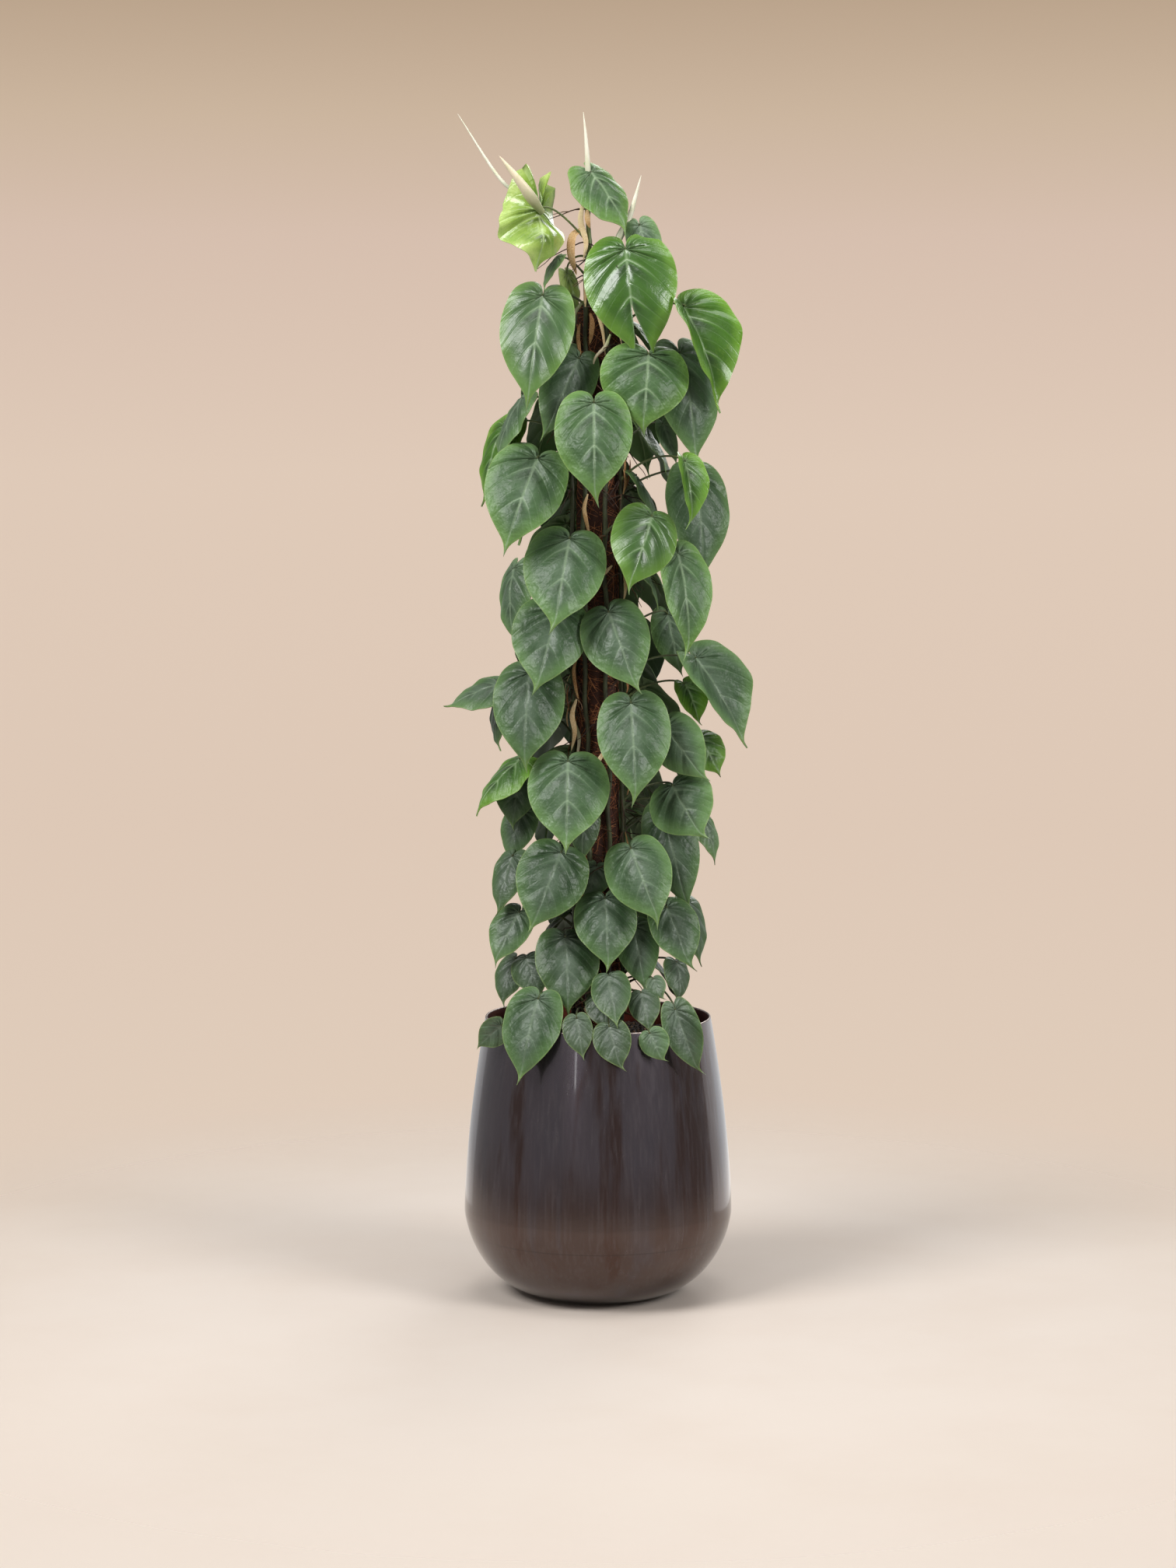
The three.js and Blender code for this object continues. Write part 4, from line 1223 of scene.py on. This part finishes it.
def studio_dome():
    """A backdrop all round, paler low down: half lit by the lamps, half its own light."""
    material, w, shader = new_finish("backdrop", roughness=1.0, Specular_IOR_Level=0.0)
    parts = w.node("ShaderNodeSeparateXYZ")
    w.join(w.place(), parts.inputs[0])
    above_eye = w.minus(parts.outputs["Z"], EYE[2] * MM)
    level = w.plus(w.math("DIVIDE", above_eye, DOME_RADIUS * MM), 0.5)
    stops = ((0.0, "efe4d8"), (0.12, "e6d6c8"), (0.2, "dccab9"), (0.35, "dac6b5"), (0.5, "dcc8b7"),
             (0.6, "d4beae"), (0.65, "c9b49e"), (0.7, "b8a28b"))
    colour = w.ramp(level, stops)
    w.join(colour, shader["Base Color"])
    w.join(colour, shader["Emission Color"])
    shader["Emission Strength"].default_value = DOME_GLOW
    turn = np.linspace(-math.pi / 2, math.pi / 2, 40)
    profile = np.stack((DOME_RADIUS * np.cos(turn), EYE[2] + DOME_RADIUS * np.sin(turn)), axis=-1)
    skin = Skin()
    skin.add(*turned(profile, 96))
    dome = skin.piece("studio_dome", [material], crease=180)
    dome.visible_diffuse = dome.visible_glossy = dome.visible_shadow = False


def soft_box(name, place, target, size, power, tint=(1, 1, 1)):
    """A rectangular lamp, in metres, that faces its target."""
    lamp = bpy.data.lights.new(name, "AREA")
    lamp.shape = "RECTANGLE"
    lamp.size, lamp.size_y = size
    lamp.energy = power
    lamp.color = tint
    made = bpy.data.objects.new(name, lamp)
    made.location = place
    toward = np.array(target) - np.array(place)
    flat = math.hypot(toward[0], toward[1])
    tilt = math.atan2(toward[2], flat)
    bearing = math.atan2(toward[1], toward[0])
    made.rotation_euler = (math.pi / 2 + tilt, 0, bearing - math.pi / 2)
    made.visible_camera = False
    bpy.context.scene.collection.objects.link(made)
    return made


def studio_lights():
    """Two large lamps from the front's sides, one above, one behind, a thin strip and two cards
    whose reflections run down the planter's sides."""
    soft_box("key_soft_box", (-2.3, -2.1, 3.2), (0, 0, 0.7), (1.7, 1.7), 138)
    soft_box("fill_soft_box", (2.8, -2.3, 2.4), (0, 0, 0.7), (1.5, 1.5), 88)
    soft_box("top_soft_box", (0.1, -0.5, 3.7), (0, 0, 0.6), (2.0, 1.6), 44)
    soft_box("front_strip", (-1.2, -3.1, 1.2), (0, 0, 0.6), (0.09, 1.2), 2)
    soft_box("back_soft_box", (1.1, 3.0, 2.4), (0, 0, 0.7), (1.8, 1.8), 42)
    for name, x, y, wide, power in (("right_card", 0.4, 0.4, 0.62, 0.95),
                                    ("left_card", -0.33, 0.47, 0.4, 0.34)):
        place, target = (x, y, CARD_HEIGHT), (0, 0, CARD_HEIGHT)
        card = soft_box(name, place, target, (wide, 0.9), power, CARD_TINT)
        card.visible_diffuse = False


def studio_air():
    """Even soft light from all round."""
    world = bpy.data.worlds.new("studio_air")
    world.use_nodes = True
    soft = world.node_tree.nodes["Background"]
    soft.inputs["Color"].default_value = ink("f0edea")
    soft.inputs["Strength"].default_value = AIR_LIGHT
    bpy.context.scene.world = world


def photograph_camera():
    """The camera stands where the photograph was taken from."""
    lens = bpy.data.cameras.new("camera")
    lens.sensor_fit = "VERTICAL"
    lens.sensor_height = 36
    lens.lens = LENS
    lens.clip_end = 60
    camera = bpy.data.objects.new("camera", lens)
    camera.location = EYE * MM
    camera.rotation_euler = (math.radians(90 - EYE_TILT), 0, 0)
    bpy.context.scene.collection.objects.link(camera)
    bpy.context.scene.camera = camera


# Assembly.
def place_piece(piece, node):
    """Fixes a finished piece to the plant in place of a node."""
    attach(piece, "root")
    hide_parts(node)


def dress_plant():
    """Makes every piece of the plant with its finishes."""
    veins, mottle, brushed = veins_group(), mottle_group(), brushed_group()
    leaf_finishes = [
        leaf_upper(veins, mottle, "leaf upper face", 0.34, 0.003),
        leaf_lower(veins, mottle),
        stalk_finish(mottle),
        shoot_finish(mottle),
        dry_finish("aerial root", ((0.2, "2a1c14"), (0.6, "4b3424"), (1.0, "6d5238"))),
        dry_finish("dry sheath", ((0.1, "8a5a34"), (0.5, "c39a68"), (1.0, "e2cda2"))),
        leaf_upper(veins, mottle, "glossy leaf upper face", 0.55, 0.001),
    ]
    flat = FlatBlade()
    for i, vine in enumerate(BACK_VINES):
        vine["leaves"] = back_leaves(vine, 11 + i)
    for i, vine in enumerate(VINES + BACK_VINES):
        place_piece(vine_piece(vine, flat, leaf_finishes, 40 + i), vine["name"])
    coir = [
        dry_finish("coir", ((0.1, "3a1d11"), (0.5, "6b3b24"), (0.9, "8c5334"))),
        dry_finish("coir fibre", ((0.1, "4e2817"), (0.5, "8b5032"), (0.95, "b97c50"))),
    ]
    place_piece(coir_piece(coir), "coir_sleeve")
    place_piece(stake_piece([stake_finish()]), "pole_stake")
    place_piece(soil_piece([soil_finish()]), "potting_soil")
    metal = [planter_outside(brushed), planter_lip(brushed), planter_inside(mottle)]
    place_piece(planter_piece(metal), "planter")


dress_plant()
studio_floor()
studio_dome()
studio_lights()
studio_air()
photograph_camera()
bpy.context.scene.view_settings.view_transform = "Standard"
